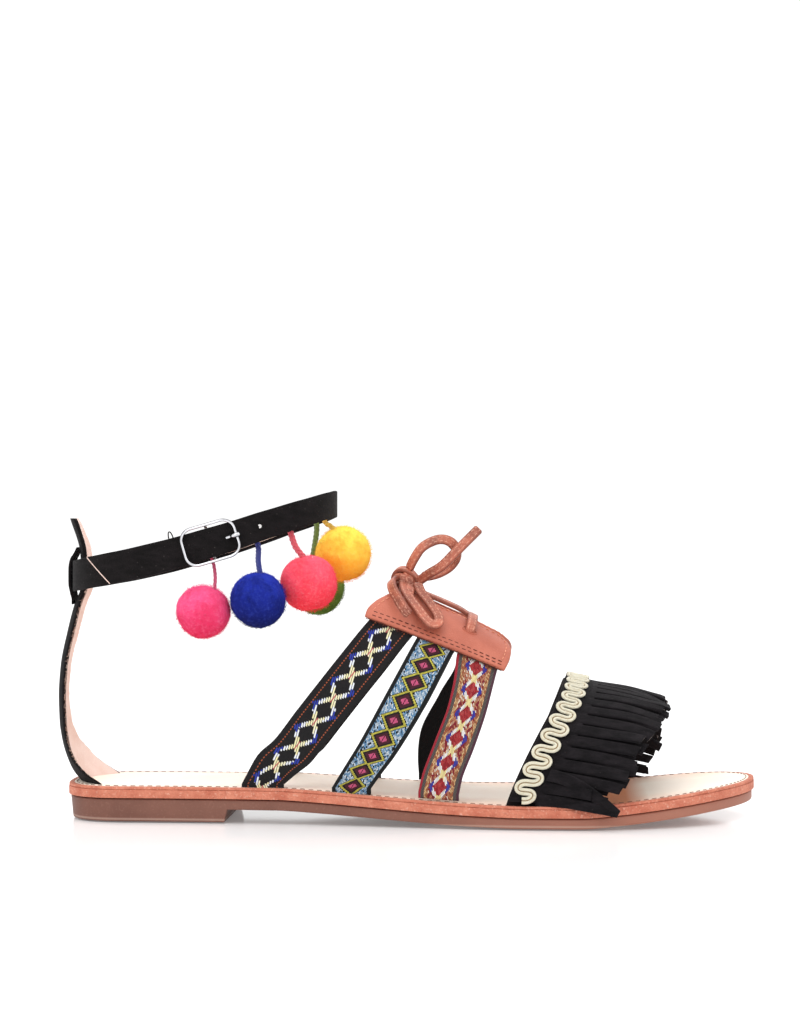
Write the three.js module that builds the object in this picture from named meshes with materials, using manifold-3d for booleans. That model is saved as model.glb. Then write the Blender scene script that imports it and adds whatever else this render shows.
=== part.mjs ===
// Flat sandal, right foot: three woven ribbons a side under laced leather pads, a fringed toe
// band with a gold serpentine braid, and a buckled ankle strap hung with felt balls.
// Millimetres. +X runs to the toe, +Y to the medial side, +Z up; the floor is Z = 0.
import * as THREE from 'three';
import { mergeVertices } from 'three/addons/utils/BufferGeometryUtils.js';
import Module from 'manifold-3d';

const wasm = await Module();
wasm.setup();

// Sole
const soleLength = 252;
const heelWidth = 59;
const waistWidth = 60;
const ballWidth = 89;
const outsoleThickness = 3.6;
const heelLift = 4.6;
const heelBlockLength = 61;
const heelBlockInset = 0.7;
const toeSpring = 6;
const midsoleThickness = 2.7;
const insoleThickness = 1.1;
const outsoleInset = 0.8;
const insoleInset = 0.4;
const heelRound = 26;
const toeRoundLateral = 72;
const toeRoundMedial = 40;
const toeTipOffset = 12;
const heelSquareness = 2.8;
const toeSquareness = 2.1;
const heelSpot = 30;

// Upper
const instepHeight = 77;
const strapInset = 3.6;
const ribbonThickness = 1.2;
const padThickness = 2;
const padBottomAngle = 53.5;
const padTopAngle = 82;
const laceHoleLength = 4.4;
const laceHoleWidth = 2.4;

// Toe band, braid and fringe
const toeBandWidth = 11;
const toeBandThickness = 1.4;
const toeBandFootLateral = 0.6397 * soleLength;
const toeBandFootMedial = 0.66667 * soleLength;
const toeBandCrown = 0.719 * soleLength;
const fringeThickness = 1.2;
const fringeStripWidth = 4;
const fringeStripGap = 0.5;
const fringeDroop = 5;
const fringeSplay = 4;
const braidWidth = 7.8;
const braidStrand = 2;
const braidHeight = 1.2;
const braidPitch = 5.7;
const braidMargin = 1.4;

// Ankle strap and heel strip
const strapWidth = 11.4;
const strapThickness = 1.6;
const ankleLength = 96;
const ankleWidth = 65;
const ankleBack = 1.5;
const ankleBackHeight = 87.8;
const ankleRise = 26.5;
const ankleSquareness = 2.3;
const tailEnd = 14;
const heelTabHeight = 109;
const heelStripThickness = 1.7;
const heelStripHalf = 12;
const heelBulge = 5;
const heelLoopWidth = 11;
const heelLoopThickness = 1.1;

// Buckle
const buckleStation = 55.4;
const buckleLength = 19.4;
const buckleWire = 1.2;
const buckleCorner = 4;
const prongWidth = 1.4;

// Felt balls and their cords
const ballDiameter = 20;
const ballCordDiameter = 2.4;

// Lace
const laceWidth = 3.8;
const laceThickness = 1.5;
const knotSize = 11.4;

// Air between two pieces that touch on the real sandal
const gap = 0.3;

const suedeBlack = [0x231f1d, 0.95, 0];
const tanLeather = [0xc9765c, 0.6, 0];
const wovenBlack = [0x2b2a2c, 0.85, 0];

// Plan outline: how far the sole reaches each side of the heel's middle line
const outlineRows = [
  { along: 0.0, lateral: 0.495 * heelWidth, medial: 0.495 * heelWidth },
  { along: 0.12, lateral: 0.5 * heelWidth, medial: 0.5 * heelWidth },
  { along: 0.22, lateral: 0.515 * heelWidth, medial: 0.49 * heelWidth },
  { along: 0.32, lateral: 0.55 * waistWidth, medial: 0.46 * waistWidth },
  { along: 0.42, lateral: 0.61 * waistWidth, medial: 0.46 * waistWidth },
  { along: 0.52, lateral: 0.458 * ballWidth, medial: 0.348 * ballWidth },
  { along: 0.6, lateral: 0.492 * ballWidth, medial: 0.416 * ballWidth },
  { along: 0.68, lateral: 0.51 * ballWidth, medial: 0.472 * ballWidth },
  { along: 0.74, lateral: 0.511 * ballWidth, medial: 0.494 * ballWidth },
  { along: 0.8, lateral: 0.506 * ballWidth, medial: 0.5 * ballWidth },
  { along: 1.0, lateral: 0.497 * ballWidth, medial: 0.495 * ballWidth },
];

// Underside of the outsole sheet: share of the heel's lift, and share of the toe spring
const undersideRows = [
  { along: 0.0, lift: 1, spring: 0 },
  { along: 0.25, lift: 1, spring: 0 },
  { along: 0.315, lift: 1, spring: 0 },
  { along: 0.365, lift: 0.88, spring: 0 },
  { along: 0.425, lift: 0.66, spring: 0 },
  { along: 0.485, lift: 0.44, spring: 0 },
  { along: 0.555, lift: 0.2, spring: 0 },
  { along: 0.62, lift: 0.05, spring: 0 },
  { along: 0.655, lift: 0, spring: 0 },
  { along: 0.745, lift: 0, spring: 0 },
  { along: 0.8, lift: 0, spring: 0.16 },
  { along: 0.88, lift: 0, spring: 0.5 },
  { along: 0.95, lift: 0, spring: 0.82 },
  { along: 1.0, lift: 0, spring: 1 },
];

// Crown of the foot form above the floor, as a share of the instep height
const crownRows = [
  { along: 0.34, crown: 1.28 },
  { along: 0.38, crown: 1.205 },
  { along: 0.44, crown: 1.115 },
  { along: 0.48, crown: 1.06 },
  { along: 0.52, crown: 1.0 },
  { along: 0.56, crown: 0.94 },
  { along: 0.6, crown: 0.875 },
  { along: 0.64, crown: 0.805 },
  { along: 0.68, crown: 0.715 },
  { along: 0.726, crown: 0.632 },
  { along: 0.76, crown: 0.608 },
  { along: 0.81, crown: 0.575 },
  { along: 0.855, crown: 0.52 },
  { along: 0.87, crown: 0.487 },
  { along: 1.0, crown: 0.33 },
];

// Ribbon edges: stations from the heel as shares of the sole, heights as shares of the instep;
// medialBack is how much further back the medial ribbon runs than the lateral one
const ribbonRows = {
  rear: [
    { rear: 0.2627, rearUp: 0.24, front: 0.3238, frontUp: 0.205 },
    { rear: 0.287, rearUp: 0.32, front: 0.343, frontUp: 0.232 },
    { rear: 0.309, rearUp: 0.385, front: 0.36, frontUp: 0.275 },
    { rear: 0.342, rearUp: 0.525, front: 0.392, frontUp: 0.405 },
    { rear: 0.3746, rearUp: 0.661, front: 0.4242, frontUp: 0.539 },
    { rear: 0.407, rearUp: 0.795, front: 0.457, frontUp: 0.672 },
    { rear: 0.4385, rearUp: 0.922, front: 0.4873, frontUp: 0.8 },
    { rear: 0.458, rearUp: 0.99, front: 0.507, frontUp: 0.875 },
  ],
  middle: [
    { rear: 0.3929, rearUp: 0.2, front: 0.4492, frontUp: 0.19 },
    { rear: 0.4115, rearUp: 0.27, front: 0.4635, frontUp: 0.235 },
    { rear: 0.4306, rearUp: 0.371, front: 0.481, frontUp: 0.31 },
    { rear: 0.4667, rearUp: 0.587, front: 0.5198, frontUp: 0.513 },
    { rear: 0.487, rearUp: 0.71, front: 0.541, frontUp: 0.645 },
    { rear: 0.5067, rearUp: 0.83, front: 0.5607, frontUp: 0.769 },
    { rear: 0.519, rearUp: 0.9, front: 0.573, frontUp: 0.835 },
  ],
  front: [
    { rear: 0.5163, rearUp: 0.19, front: 0.5738, frontUp: 0.175, medialBack: 0.011 },
    { rear: 0.522, rearUp: 0.24, front: 0.5785, frontUp: 0.222, medialBack: 0.018 },
    { rear: 0.5397, rearUp: 0.395, front: 0.5952, frontUp: 0.364, medialBack: 0.029 },
    { rear: 0.5575, rearUp: 0.552, front: 0.6119, frontUp: 0.526, medialBack: 0.021 },
    { rear: 0.5655, rearUp: 0.68, front: 0.6202, frontUp: 0.635, medialBack: 0.006 },
    { rear: 0.5683, rearUp: 0.779, front: 0.6262, frontUp: 0.714, medialBack: 0 },
    { rear: 0.5758, rearUp: 0.84, front: 0.631, frontUp: 0.765, medialBack: 0 },
  ],
};

// Pad outline: share of the way from its bottom to its top edge, and its two ends
const padRows = [
  { up: 0.0, rear: 0.4365, front: 0.6335 },
  { up: 0.12, rear: 0.439, front: 0.6365 },
  { up: 0.3, rear: 0.4475, front: 0.6395 },
  { up: 0.5, rear: 0.4595, front: 0.6405 },
  { up: 0.7, rear: 0.4745, front: 0.638 },
  { up: 0.85, rear: 0.488, front: 0.631 },
  { up: 1.0, rear: 0.51, front: 0.615 },
];

// Ends of the fringe strips: angle round the foot form, station as a share of the sole
const fringeEndRows = [
  { angle: 0, end: 0.797 },
  { angle: 10, end: 0.8 },
  { angle: 20, end: 0.815 },
  { angle: 32, end: 0.826 },
  { angle: 45, end: 0.848 },
  { angle: 65, end: 0.862 },
  { angle: 90, end: 0.868 },
  { angle: 130, end: 0.868 },
  { angle: 160, end: 0.862 },
  { angle: 180, end: 0.85 },
];

// Heel strip: height as a share of the tab's, how far it bulges back, half width and wrap
const heelStripRows = [
  { up: 0.112, bulge: -0.75, half: 1.85, wrap: 0.92 },
  { up: 0.15, bulge: -0.15, half: 1.78, wrap: 0.64 },
  { up: 0.2, bulge: 0.32, half: 1.5, wrap: 0.38 },
  { up: 0.25, bulge: 0.7, half: 1.02, wrap: 0.26 },
  { up: 0.31, bulge: 0.94, half: 0.7, wrap: 0.2 },
  { up: 0.4, bulge: 1.02, half: 0.54, wrap: 0.18 },
  { up: 0.5, bulge: 0.88, half: 0.56, wrap: 0.18 },
  { up: 0.62, bulge: 0.35, half: 0.66, wrap: 0.2 },
  { up: 0.72, bulge: -0.24, half: 0.66, wrap: 0.2 },
  { up: 0.76, bulge: -0.6, half: 0.66, wrap: 0.2 },
  { up: 0.82, bulge: -0.65, half: 0.66, wrap: 0.2 },
  { up: 0.88, bulge: -0.6, half: 0.66, wrap: 0.18 },
  { up: 1.0, bulge: 0.18, half: 0.62, wrap: 0.12 },
];
const heelWrap = 12;

// Ankle strap: share of its length from the heel, share of its rise, share of its width
const ankleRows = [
  { along: 0.0, rise: 0.0, wide: 1.0 },
  { along: 0.25, rise: 0.17, wide: 1.0 },
  { along: 0.55, rise: 0.465, wide: 0.94 },
  { along: 0.8, rise: 0.76, wide: 0.88 },
  { along: 1.0, rise: 1.0, wide: 0.85 },
];

// Layers where the tail crosses the buckle: station from the buckle's middle bar, layer share
const tailRows = [
  { ahead: -12, layer: 1 },
  { ahead: -9.5, layer: 1 },
  { ahead: -4.5, layer: 1.5 },
  { ahead: 0, layer: 1.95 },
  { ahead: 4.5, layer: 1.5 },
  { ahead: 10, layer: 0.85 },
  { ahead: 18, layer: 0.25 },
  { ahead: 26, layer: 0 },
];

// Felt balls: middle of each as shares of the ankle strap's length, width and back height,
// size as a share of the usual one, and the place of its cord as a share of the strap's length
const ballRows = [
  { name: 'pink', at: [0.553, -0.523, 0.864], size: 0.975, cord: 0.5885, side: -1, color: 0xf0508a },
  { name: 'blue', at: [0.758, -0.538, 0.911], size: 1.0, cord: 0.7500, side: -1, color: 0x23339a },
  { name: 'coral', at: [0.936, -0.362, 0.976], size: 1.02, cord: 0.8750, side: -1, color: 0xfa5064 },
  { name: 'green', at: [0.939, 0.215, 0.944], size: 1.0, cord: 0.9375, side: 1, color: 0x789646 },
  { name: 'yellow', at: [1.054, -0.092, 1.093], size: 1.03, cord: 1.0062, side: -1, color: 0xfac83c },
];

// Lace: routes chosen by hand, from the knot outwards
const knotMiddle = [123.6, -1.2, 85.2];
const laceLoopUpper = [
  [125.1, -3.4, 90.5], [127.0, -5.2, 94.2], [129.8, -6.0, 98.2], [133.2, -6.2, 100.4],
  [136.8, -5.8, 101.4], [140.0, -4.6, 100.6], [142.2, -2.4, 98.0], [142.4, -0.2, 94.6],
  [140.2, 1.0, 91.4], [136.8, 1.4, 89.2], [133.2, 1.0, 88.0], [129.6, 0.4, 87.6],
];
const laceLoopLower = [
  [123.4, -7.2, 85.3], [123.9, -13.5, 83.6], [125.6, -18.5, 80.9], [128.1, -22.4, 77.9],
  [130.6, -25.2, 74.9], [132.8, -27.2, 72.4], [134.9, -28.0, 71.2], [136.6, -27.0, 71.6],
  [136.8, -24.8, 73.3], [135.3, -21.8, 76.0], [132.8, -18.2, 79.1], [130.0, -13.6, 82.2],
  [128.4, -8.6, 85.2],
];
const laceEndUpper = [
  [128.9, -3.0, 86.4], [132.6, -7.2, 88.8], [137.2, -9.8, 91.6], [141.6, -10.8, 95.9],
  [145.6, -11.0, 100.0], [149.0, -11.0, 103.4], [151.0, -10.8, 105.4],
];
const laceEndLower = [
  [119.6, -6.0, 86.6], [119.2, -14.4, 85.6], [120.0, -19.8, 83.5], [121.7, -23.8, 80.9],
  [123.8, -27.3, 77.8], [126.2, -30.2, 74.8],
];

const at = (x, y, z) => new THREE.Vector3(x, y, z);
const radians = THREE.MathUtils.degToRad;

// Monotone cubic through the rows of a table, so that a level stretch stays level
function read(rows, key, where, by = 'along') {
  const last = rows.length - 1;
  if (where <= rows[0][by]) return rows[0][key];
  if (where >= rows[last][by]) return rows[last][key];
  const slope = (i) => (rows[i + 1][key] - rows[i][key]) / (rows[i + 1][by] - rows[i][by]);
  const tangent = (i) => {
    if (i === 0) return slope(0);
    if (i === last) return slope(last - 1);
    const before = slope(i - 1);
    const after = slope(i);
    return before * after <= 0 ? 0 : (2 * before * after) / (before + after);
  };
  const i = rows.findIndex((row) => row[by] > where) - 1;
  const step = rows[i + 1][by] - rows[i][by];
  const t = (where - rows[i][by]) / step;
  const rise = t * t * (3 - 2 * t);
  const leave = t * (1 - t) * (1 - t) * step;
  const arrive = t * t * (t - 1) * step;
  const level = rows[i][key] * (1 - rise) + rows[i + 1][key] * rise;
  return level + leave * tangent(i) + arrive * tangent(i + 1);
}

// Makes one closed body from points and faces: joins doubled points, drops collapsed faces
// and turns the faces outwards
function closedBody(points, faces) {
  const raw = new THREE.BufferGeometry();
  raw.setAttribute('position', new THREE.Float32BufferAttribute(points.flatMap((p) => p.toArray()), 3));
  raw.setIndex(faces.flat());
  const merged = mergeVertices(raw, 1e-3);
  const place = merged.getAttribute('position');
  const index = merged.getIndex().array;
  const corner = [0, 1, 2].map(() => new THREE.Vector3());
  const kept = [];
  let volume = 0;
  for (let i = 0; i < index.length; i += 3) {
    const face = [index[i], index[i + 1], index[i + 2]];
    if (new Set(face).size < 3) continue;
    kept.push(face);
    face.forEach((vertex, n) => corner[n].fromBufferAttribute(place, vertex));
    volume += corner[0].dot(corner[1].clone().cross(corner[2]));
  }
  const outward = volume < 0 ? kept.map(([a, b, c]) => [a, c, b]) : kept;
  merged.setIndex(outward.flat());
  merged.computeVertexNormals();
  return merged;
}

// Skins a row of rings; an open row is closed by a ladder of quads across each end ring
function loft(rings, closed = false) {
  const count = rings[0].length;
  const faces = [];
  const spans = closed ? rings.length : rings.length - 1;
  for (let i = 0; i < spans; i++) {
    const here = i * count;
    const next = ((i + 1) % rings.length) * count;
    for (let j = 0; j < count; j++) {
      const k = (j + 1) % count;
      faces.push([here + j, here + k, next + k], [here + j, next + k, next + j]);
    }
  }
  const end = (rings.length - 1) * count;
  for (let j = 0; !closed && j < count / 2 - 1; j++) {
    const [a, b, c, d] = [j, j + 1, count - 2 - j, count - 1 - j];
    faces.push([c, b, a], [d, c, a], [end + a, end + b, end + c], [end + a, end + c, end + d]);
  }
  return closedBody(rings.flat(), faces);
}

function toManifold(geometry) {
  const bare = geometry.clone();
  bare.deleteAttribute('normal');
  bare.deleteAttribute('uv');
  const merged = mergeVertices(bare, 1e-4);
  const vertProperties = new Float32Array(merged.getAttribute('position').array);
  const triVerts = new Uint32Array(merged.getIndex().array);
  return new wasm.Manifold(new wasm.Mesh({ numProp: 3, vertProperties, triVerts }));
}

function fromManifold(body) {
  const mesh = body.getMesh();
  const geometry = new THREE.BufferGeometry();
  geometry.setAttribute('position', new THREE.BufferAttribute(mesh.vertProperties, 3));
  geometry.setIndex(new THREE.BufferAttribute(mesh.triVerts, 1));
  geometry.computeVertexNormals();
  return geometry;
}

function join(...geometries) {
  const bodies = geometries.map(toManifold);
  return fromManifold(bodies.slice(1).reduce((whole, body) => whole.add(body), bodies[0]));
}

function cut(geometry, tools) {
  const solids = tools.map(toManifold);
  return fromManifold(solids.reduce((rest, tool) => rest.subtract(tool), toManifold(geometry)));
}

// Sole sections

function outsoleUnderside(x) {
  const along = x / soleLength;
  const lift = read(undersideRows, 'lift', along) * heelLift;
  return lift + read(undersideRows, 'spring', along) * toeSpring;
}
const outsoleTop = (x) => outsoleUnderside(x) + outsoleThickness;
const midsoleBottom = (x) => outsoleTop(x) + gap;
const midsoleTop = (x) => midsoleBottom(x) + midsoleThickness;
const insoleBottom = (x) => midsoleTop(x) + gap;
const insoleTop = (x) => insoleBottom(x) + insoleThickness;

// Side of the outline at a station: the table's width, drawn in by a rounded arc at each end
function edge(x, side, inset = 0) {
  const reach = read(outlineRows, side < 0 ? 'lateral' : 'medial', x / soleLength) - inset;
  const toeRound = side < 0 ? toeRoundLateral : toeRoundMedial;
  const toeStart = soleLength - toeRound;
  if (x < heelRound) {
    const t = Math.min((heelRound - x) / (heelRound - inset), 1);
    return side * reach * (1 - t ** heelSquareness) ** (1 / heelSquareness);
  }
  if (x > toeStart) {
    const t = Math.min((x - toeStart) / (toeRound - inset), 1);
    const shrink = (1 - t ** toeSquareness) ** (1 / toeSquareness);
    return toeTipOffset + (side * reach - toeTipOffset) * shrink;
  }
  return side * reach;
}

// A sheet of the sole between two heights; its stations crowd together at the rounded ends
function soleSheet(inset, bottom, top, stations = 34) {
  const rings = [];
  for (let i = 0; i <= stations; i++) {
    const share = (1 - Math.cos((Math.PI * i) / stations)) / 2;
    const x = inset + share * (soleLength - 2 * inset);
    const [left, right] = [edge(x, -1, inset), edge(x, 1, inset)];
    rings.push([at(x, left, bottom(x)), at(x, right, bottom(x)), at(x, right, top(x)), at(x, left, top(x))]);
  }
  return loft(rings);
}

// Heel block under the sheet: the outline's own rounded back, flat on the floor, square breast
function heelBlock(stations = 14) {
  const inset = outsoleInset;
  const rings = [];
  for (let i = 0; i <= stations; i++) {
    const share = 1 - Math.cos((Math.PI / 2) * (i / stations));
    const x = inset + share * (heelBlockLength - inset);
    const low = Math.max(x, inset + heelBlockInset);
    const [left, right] = [edge(x, -1, inset), edge(x, 1, inset)];
    const [lowLeft, lowRight] = [-1, 1].map((side) => edge(low, side, inset + heelBlockInset));
    const roof = outsoleUnderside(x) + outsoleThickness / 2;
    rings.push([at(low, lowLeft, 0), at(low, lowRight, 0), at(x, right, roof), at(x, left, roof)]);
  }
  return loft(rings);
}

// The foot form: an arch over the insole at each station, from the lateral edge at 0 degrees
// over the crown at 90 to the medial edge at 180
const sectionFullness = 2.2;

function bareForm(x, angle) {
  const [left, right] = [edge(x, -1, strapInset), edge(x, 1, strapInset)];
  const crown = read(crownRows, 'crown', x / soleLength) * instepHeight;
  const turn = radians(angle);
  const across = Math.sign(Math.cos(turn)) * Math.abs(Math.cos(turn)) ** (2 / sectionFullness);
  const up = Math.abs(Math.sin(turn)) ** (2 / sectionFullness);
  const base = insoleTop(x);
  return at(x, (left + right) / 2 - (across * (right - left)) / 2, base + up * (crown - base));
}

function formPoint(x, angle, out = 0) {
  const dip = 0.5;
  const forward = bareForm(x + dip, angle).sub(bareForm(x - dip, angle));
  const low = Math.max(angle - dip, 0);
  const high = Math.min(angle + dip, 180);
  const round = bareForm(x, high).sub(bareForm(x, low));
  return bareForm(x, angle).addScaledVector(forward.cross(round).normalize(), out);
}

function formAngle(x, height, side) {
  const crown = read(crownRows, 'crown', x / soleLength) * instepHeight;
  const base = insoleTop(x);
  const share = THREE.MathUtils.clamp((height - base) / (crown - base), 0, 1);
  const angle = THREE.MathUtils.radToDeg(Math.asin(share ** (sectionFullness / 2)));
  return side < 0 ? angle : 180 - angle;
}

const onForm = (x, height, side, out) => formPoint(x, formAngle(x, height, side), out);

// Thin band's ring between an inner and an outer offset, from points that share their order
function bandRing(pointAt, steps, inner, outer) {
  const shares = Array.from({ length: steps + 1 }, (unused, i) => i / steps);
  const under = shares.map((share) => pointAt(share, inner));
  const over = shares.map((share) => pointAt(share, outer)).reverse();
  return [...under, ...over];
}

// Copy of a ring stood on a given level, for a foot that goes straight down through a slot
const stoodOn = (ring, level) => ring.map((p) => at(p.x, p.y, level(p.x)));

function ribbonEdges(row, side, grow) {
  const back = side > 0 ? (row.medialBack ?? 0) : 0;
  return [(row.rear - back) * soleLength - grow, (row.front - back) * soleLength + grow];
}

function ribbonRing(row, side, inner, outer, grow = 0) {
  const [rear, front] = ribbonEdges(row, side, grow);
  return bandRing((share, out) => {
    const x = THREE.MathUtils.lerp(rear, front, share);
    const height = THREE.MathUtils.lerp(row.rearUp, row.frontUp, share) * instepHeight;
    return onForm(x, height, side, out);
  }, 3, inner, outer);
}

// A slot foot starts level with the insole's top, straight over its place in the slot
function ribbonFootRing(row, side, inner, outer, grow = 0) {
  const [rear, front] = ribbonEdges(row, side, grow);
  return bandRing((share, out) => {
    const x = THREE.MathUtils.lerp(rear, front, share);
    return formPoint(x, side < 0 ? 0 : 180, out);
  }, 3, inner, outer);
}

function ribbon(place, side) {
  const [first, ...rest] = ribbonRows[place];
  const foot = ribbonFootRing(first, side, 0, ribbonThickness);
  const rings = [stoodOn(foot, insoleBottom), stoodOn(foot, insoleTop)];
  rest.forEach((row) => rings.push(ribbonRing(row, side, 0, ribbonThickness)));
  return loft(rings);
}

function slotTool(ring) {
  const reach = 1.5;
  return loft([stoodOn(ring, (x) => insoleBottom(x) - reach), stoodOn(ring, (x) => insoleTop(x) + reach)]);
}

// Toe band: its rear edge leans forward as it climbs to the crown
function toeBandRear(angle) {
  const foot = angle < 90 ? toeBandFootLateral : toeBandFootMedial;
  const climb = 1 - (1 - Math.max(Math.sin(radians(angle)), 0)) ** 1.18;
  return foot + (toeBandCrown - foot) * climb;
}

function toeBandRing(angle, inner, outer, from = 0, to = toeBandWidth) {
  const rear = toeBandRear(angle);
  const station = (share) => THREE.MathUtils.lerp(rear + from, rear + to, share);
  return bandRing((share, out) => formPoint(station(share), angle, out), 2, inner, outer);
}

const bandAngles = Array.from({ length: 25 }, (unused, i) => 7.5 * i);

function toeBand() {
  const rings = bandAngles.map((angle) => toeBandRing(angle, 0, toeBandThickness));
  const [first, last] = [rings[0], rings[rings.length - 1]];
  return loft([
    stoodOn(first, insoleBottom), stoodOn(first, insoleTop), ...rings.slice(1, -1),
    stoodOn(last, insoleTop), stoodOn(last, insoleBottom),
  ]);
}

// Fringe: a root tape over the toe band, two layers of strips cut from it
const fringeInner = toeBandThickness + gap;
const fringeOuter = fringeInner + fringeThickness;
const fringeLow = 1.2;

function fringeRoot() {
  const rings = [];
  for (const turn of bandAngles) {
    const angle = THREE.MathUtils.clamp(turn, fringeLow, 180 - fringeLow);
    rings.push(toeBandRing(angle, fringeInner, fringeOuter, braidMargin, toeBandWidth + 2.5));
  }
  return loft(rings);
}

function fringePoint(share, angle, from, out) {
  const start = toeBandRear(angle) + from;
  const end = read(fringeEndRows, 'end', angle, 'angle') * soleLength;
  const x = THREE.MathUtils.lerp(start, end, share);
  const level = Math.cos(radians(angle));
  const p = formPoint(x, angle, out);
  p.y -= fringeSplay * share * level;
  p.z -= fringeDroop * share * share * level * level;
  return p;
}

// One strip; a drop lets the lower layer pass under the upper one once it clears the band
function fringeStrip(angle, from, drop, shorter) {
  const rings = [];
  const steps = drop ? 2 : 3;
  const skin = 0.1;
  for (let i = 0; i <= steps; i++) {
    const share = (i / steps) * (1 - shorter);
    const sunk = i === 0 ? 0 : drop;
    const here = fringePoint(share, angle, from, fringeInner);
    const beside = fringePoint(share, angle + 1, from, fringeInner);
    const half = fringeStripWidth / 2 / here.distanceTo(beside);
    const [inner, outer] = [fringeInner + skin - sunk, fringeOuter - skin - sunk];
    rings.push([
      fringePoint(share, angle - half, from, inner), fringePoint(share, angle + half, from, inner),
      fringePoint(share, angle + half, from, outer), fringePoint(share, angle - half, from, outer),
    ]);
  }
  return loft(rings);
}

// Angles of strips set side by side round the band, from their own width and gap
function stripAngles(low, high) {
  const angles = [];
  let angle = low;
  while (angle <= high) {
    angles.push(angle);
    const x = toeBandRear(angle) + toeBandWidth;
    const perDegree = formPoint(x, angle).distanceTo(formPoint(x, angle + 1));
    angle += (fringeStripWidth + fringeStripGap) / perDegree;
  }
  return angles;
}

function fringe() {
  const first = fringeLow + 3.4;
  const strips = stripAngles(first, 180 - first)
    .map((angle, i) => fringeStrip(angle, toeBandWidth - 1, 0, 0.03 * (i % 3)));
  const dropped = fringeThickness + gap;
  const under = stripAngles(2 * first, 180 - 2 * first)
    .map((angle, i) => fringeStrip(angle, toeBandWidth + 0.6, dropped, 0.02 + 0.04 * (i % 2)));
  return join(fringeRoot(), ...strips, ...under);
}

// Serpentine braid: one flat cord that swings from edge to edge of its tape's width
function braid() {
  const middle = (angle) => toeBandRear(angle) + braidMargin + braidWidth / 2;
  const inner = fringeOuter + gap;
  const samples = [];
  let length = 0;
  for (let angle = fringeLow + 1; angle <= 179 - fringeLow; angle += 1) {
    const p = formPoint(middle(angle), angle, inner);
    if (samples.length) length += p.distanceTo(samples[samples.length - 1].p);
    samples.push({ angle, p, length });
  }
  const waves = Math.round((length - braidPitch) / braidPitch);
  const stepsPerWave = 8;
  const swing = (braidWidth - braidStrand) / 2;
  const spot = (i) => {
    const phase = (2 * Math.PI * i) / stepsPerWave;
    const run = ((i / stepsPerWave + 0.5) * length) / (waves + 1) - 0.085 * braidPitch * Math.sin(2 * phase);
    const angle = read(samples, 'angle', run, 'length');
    const x = middle(angle) + swing * Math.sin(phase);
    const p = formPoint(x, angle, inner);
    return { p, normal: formPoint(x, angle, inner + 1).sub(p) };
  };
  const rings = [];
  for (let i = 0; i <= waves * stepsPerWave; i++) {
    const { p, normal } = spot(i);
    const travel = spot(i + 0.05).p.sub(spot(i - 0.05).p).normalize();
    const side = travel.cross(normal).normalize().multiplyScalar(braidStrand / 2);
    const top = normal.clone().multiplyScalar(braidHeight);
    rings.push([
      p.clone().sub(side), p.clone().add(side),
      p.clone().addScaledVector(side, 0.8).add(top), p.clone().addScaledVector(side, -0.8).add(top),
    ]);
  }
  return loft(rings);
}

// Pads over the ribbon ends, with two lace holes each
const padInner = ribbonThickness + gap;
const padOuter = padInner + padThickness;
const laceStations = [0.492, 0.587];
const laceHoleAngle = 67;

function padRing(row, side) {
  const angle = THREE.MathUtils.lerp(padBottomAngle, padTopAngle, row.up);
  const turn = side < 0 ? angle : 180 - angle;
  const [rear, front] = [row.rear * soleLength, row.front * soleLength];
  const station = (share) => THREE.MathUtils.lerp(rear, front, share);
  return bandRing((share, out) => formPoint(station(share), turn, out), 8, padInner, padOuter);
}

function laceHole(station, side) {
  const x = station * soleLength;
  const turn = side < 0 ? laceHoleAngle : 180 - laceHoleAngle;
  const spread = laceHoleWidth / formPoint(x, turn).distanceTo(formPoint(x, turn + 1)) / 2;
  const half = laceHoleLength / 2;
  const ring = (out) => [
    formPoint(x - half, turn - spread, out), formPoint(x + half, turn - spread, out),
    formPoint(x + half, turn + spread, out), formPoint(x - half, turn + spread, out),
  ];
  return loft([ring(padInner - 1), ring(padOuter + 1)]);
}

function pad(side) {
  const sheet = loft(padRows.map((row) => padRing(row, side)));
  return cut(sheet, laceStations.map((station) => laceHole(station, side)));
}

// Lace bars: a bar across from hole to hole at the front, and two strands back to the knot
const laceInner = padOuter + gap;

function laceBars() {
  const station = laceStations[1] * soleLength;
  const barSteps = 6;
  const barRings = [];
  for (let i = 0; i <= barSteps; i++) {
    const angle = THREE.MathUtils.lerp(laceHoleAngle, 180 - laceHoleAngle, i / barSteps);
    const ringPoint = (share, out) => formPoint(station + (share - 0.5) * laceWidth, angle, out);
    barRings.push(bandRing(ringPoint, 1, laceInner, laceInner + laceThickness));
  }
  const knotFront = knotMiddle[0] + 0.33 * knotSize;
  const strands = [86.5, 93.5].map((angle) => {
    const rings = [];
    for (let i = 0; i <= 3; i++) {
      const x = THREE.MathUtils.lerp(knotFront, station, i / 3);
      const spread = laceThickness / formPoint(x, angle).distanceTo(formPoint(x, angle + 1));
      const ringPoint = (share, out) => formPoint(x, angle + (share - 0.5) * 2 * spread, out);
      rings.push(bandRing(ringPoint, 1, laceInner, laceInner + 0.9 * laceThickness));
    }
    return loft(rings);
  });
  return join(loft(barRings), ...strands);
}

// Flat thong along a route; its flat side keeps facing one way
function thong(route, facing, width = laceWidth, thickness = laceThickness, steps = 2) {
  const curve = new THREE.CatmullRomCurve3(route.map((p) => at(...p)), false, 'centripetal');
  const count = (route.length - 1) * steps;
  const rings = [];
  for (let i = 0; i <= count; i++) {
    const p = curve.getPoint(i / count);
    const travel = curve.getTangent(i / count);
    const side = travel.clone().cross(facing).normalize().multiplyScalar(width / 2);
    const face = side.clone().cross(travel).normalize().multiplyScalar(thickness / 2);
    rings.push([
      p.clone().sub(side).sub(face), p.clone().add(side).sub(face),
      p.clone().add(side).add(face), p.clone().sub(side).add(face),
    ]);
  }
  return loft(rings);
}

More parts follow.
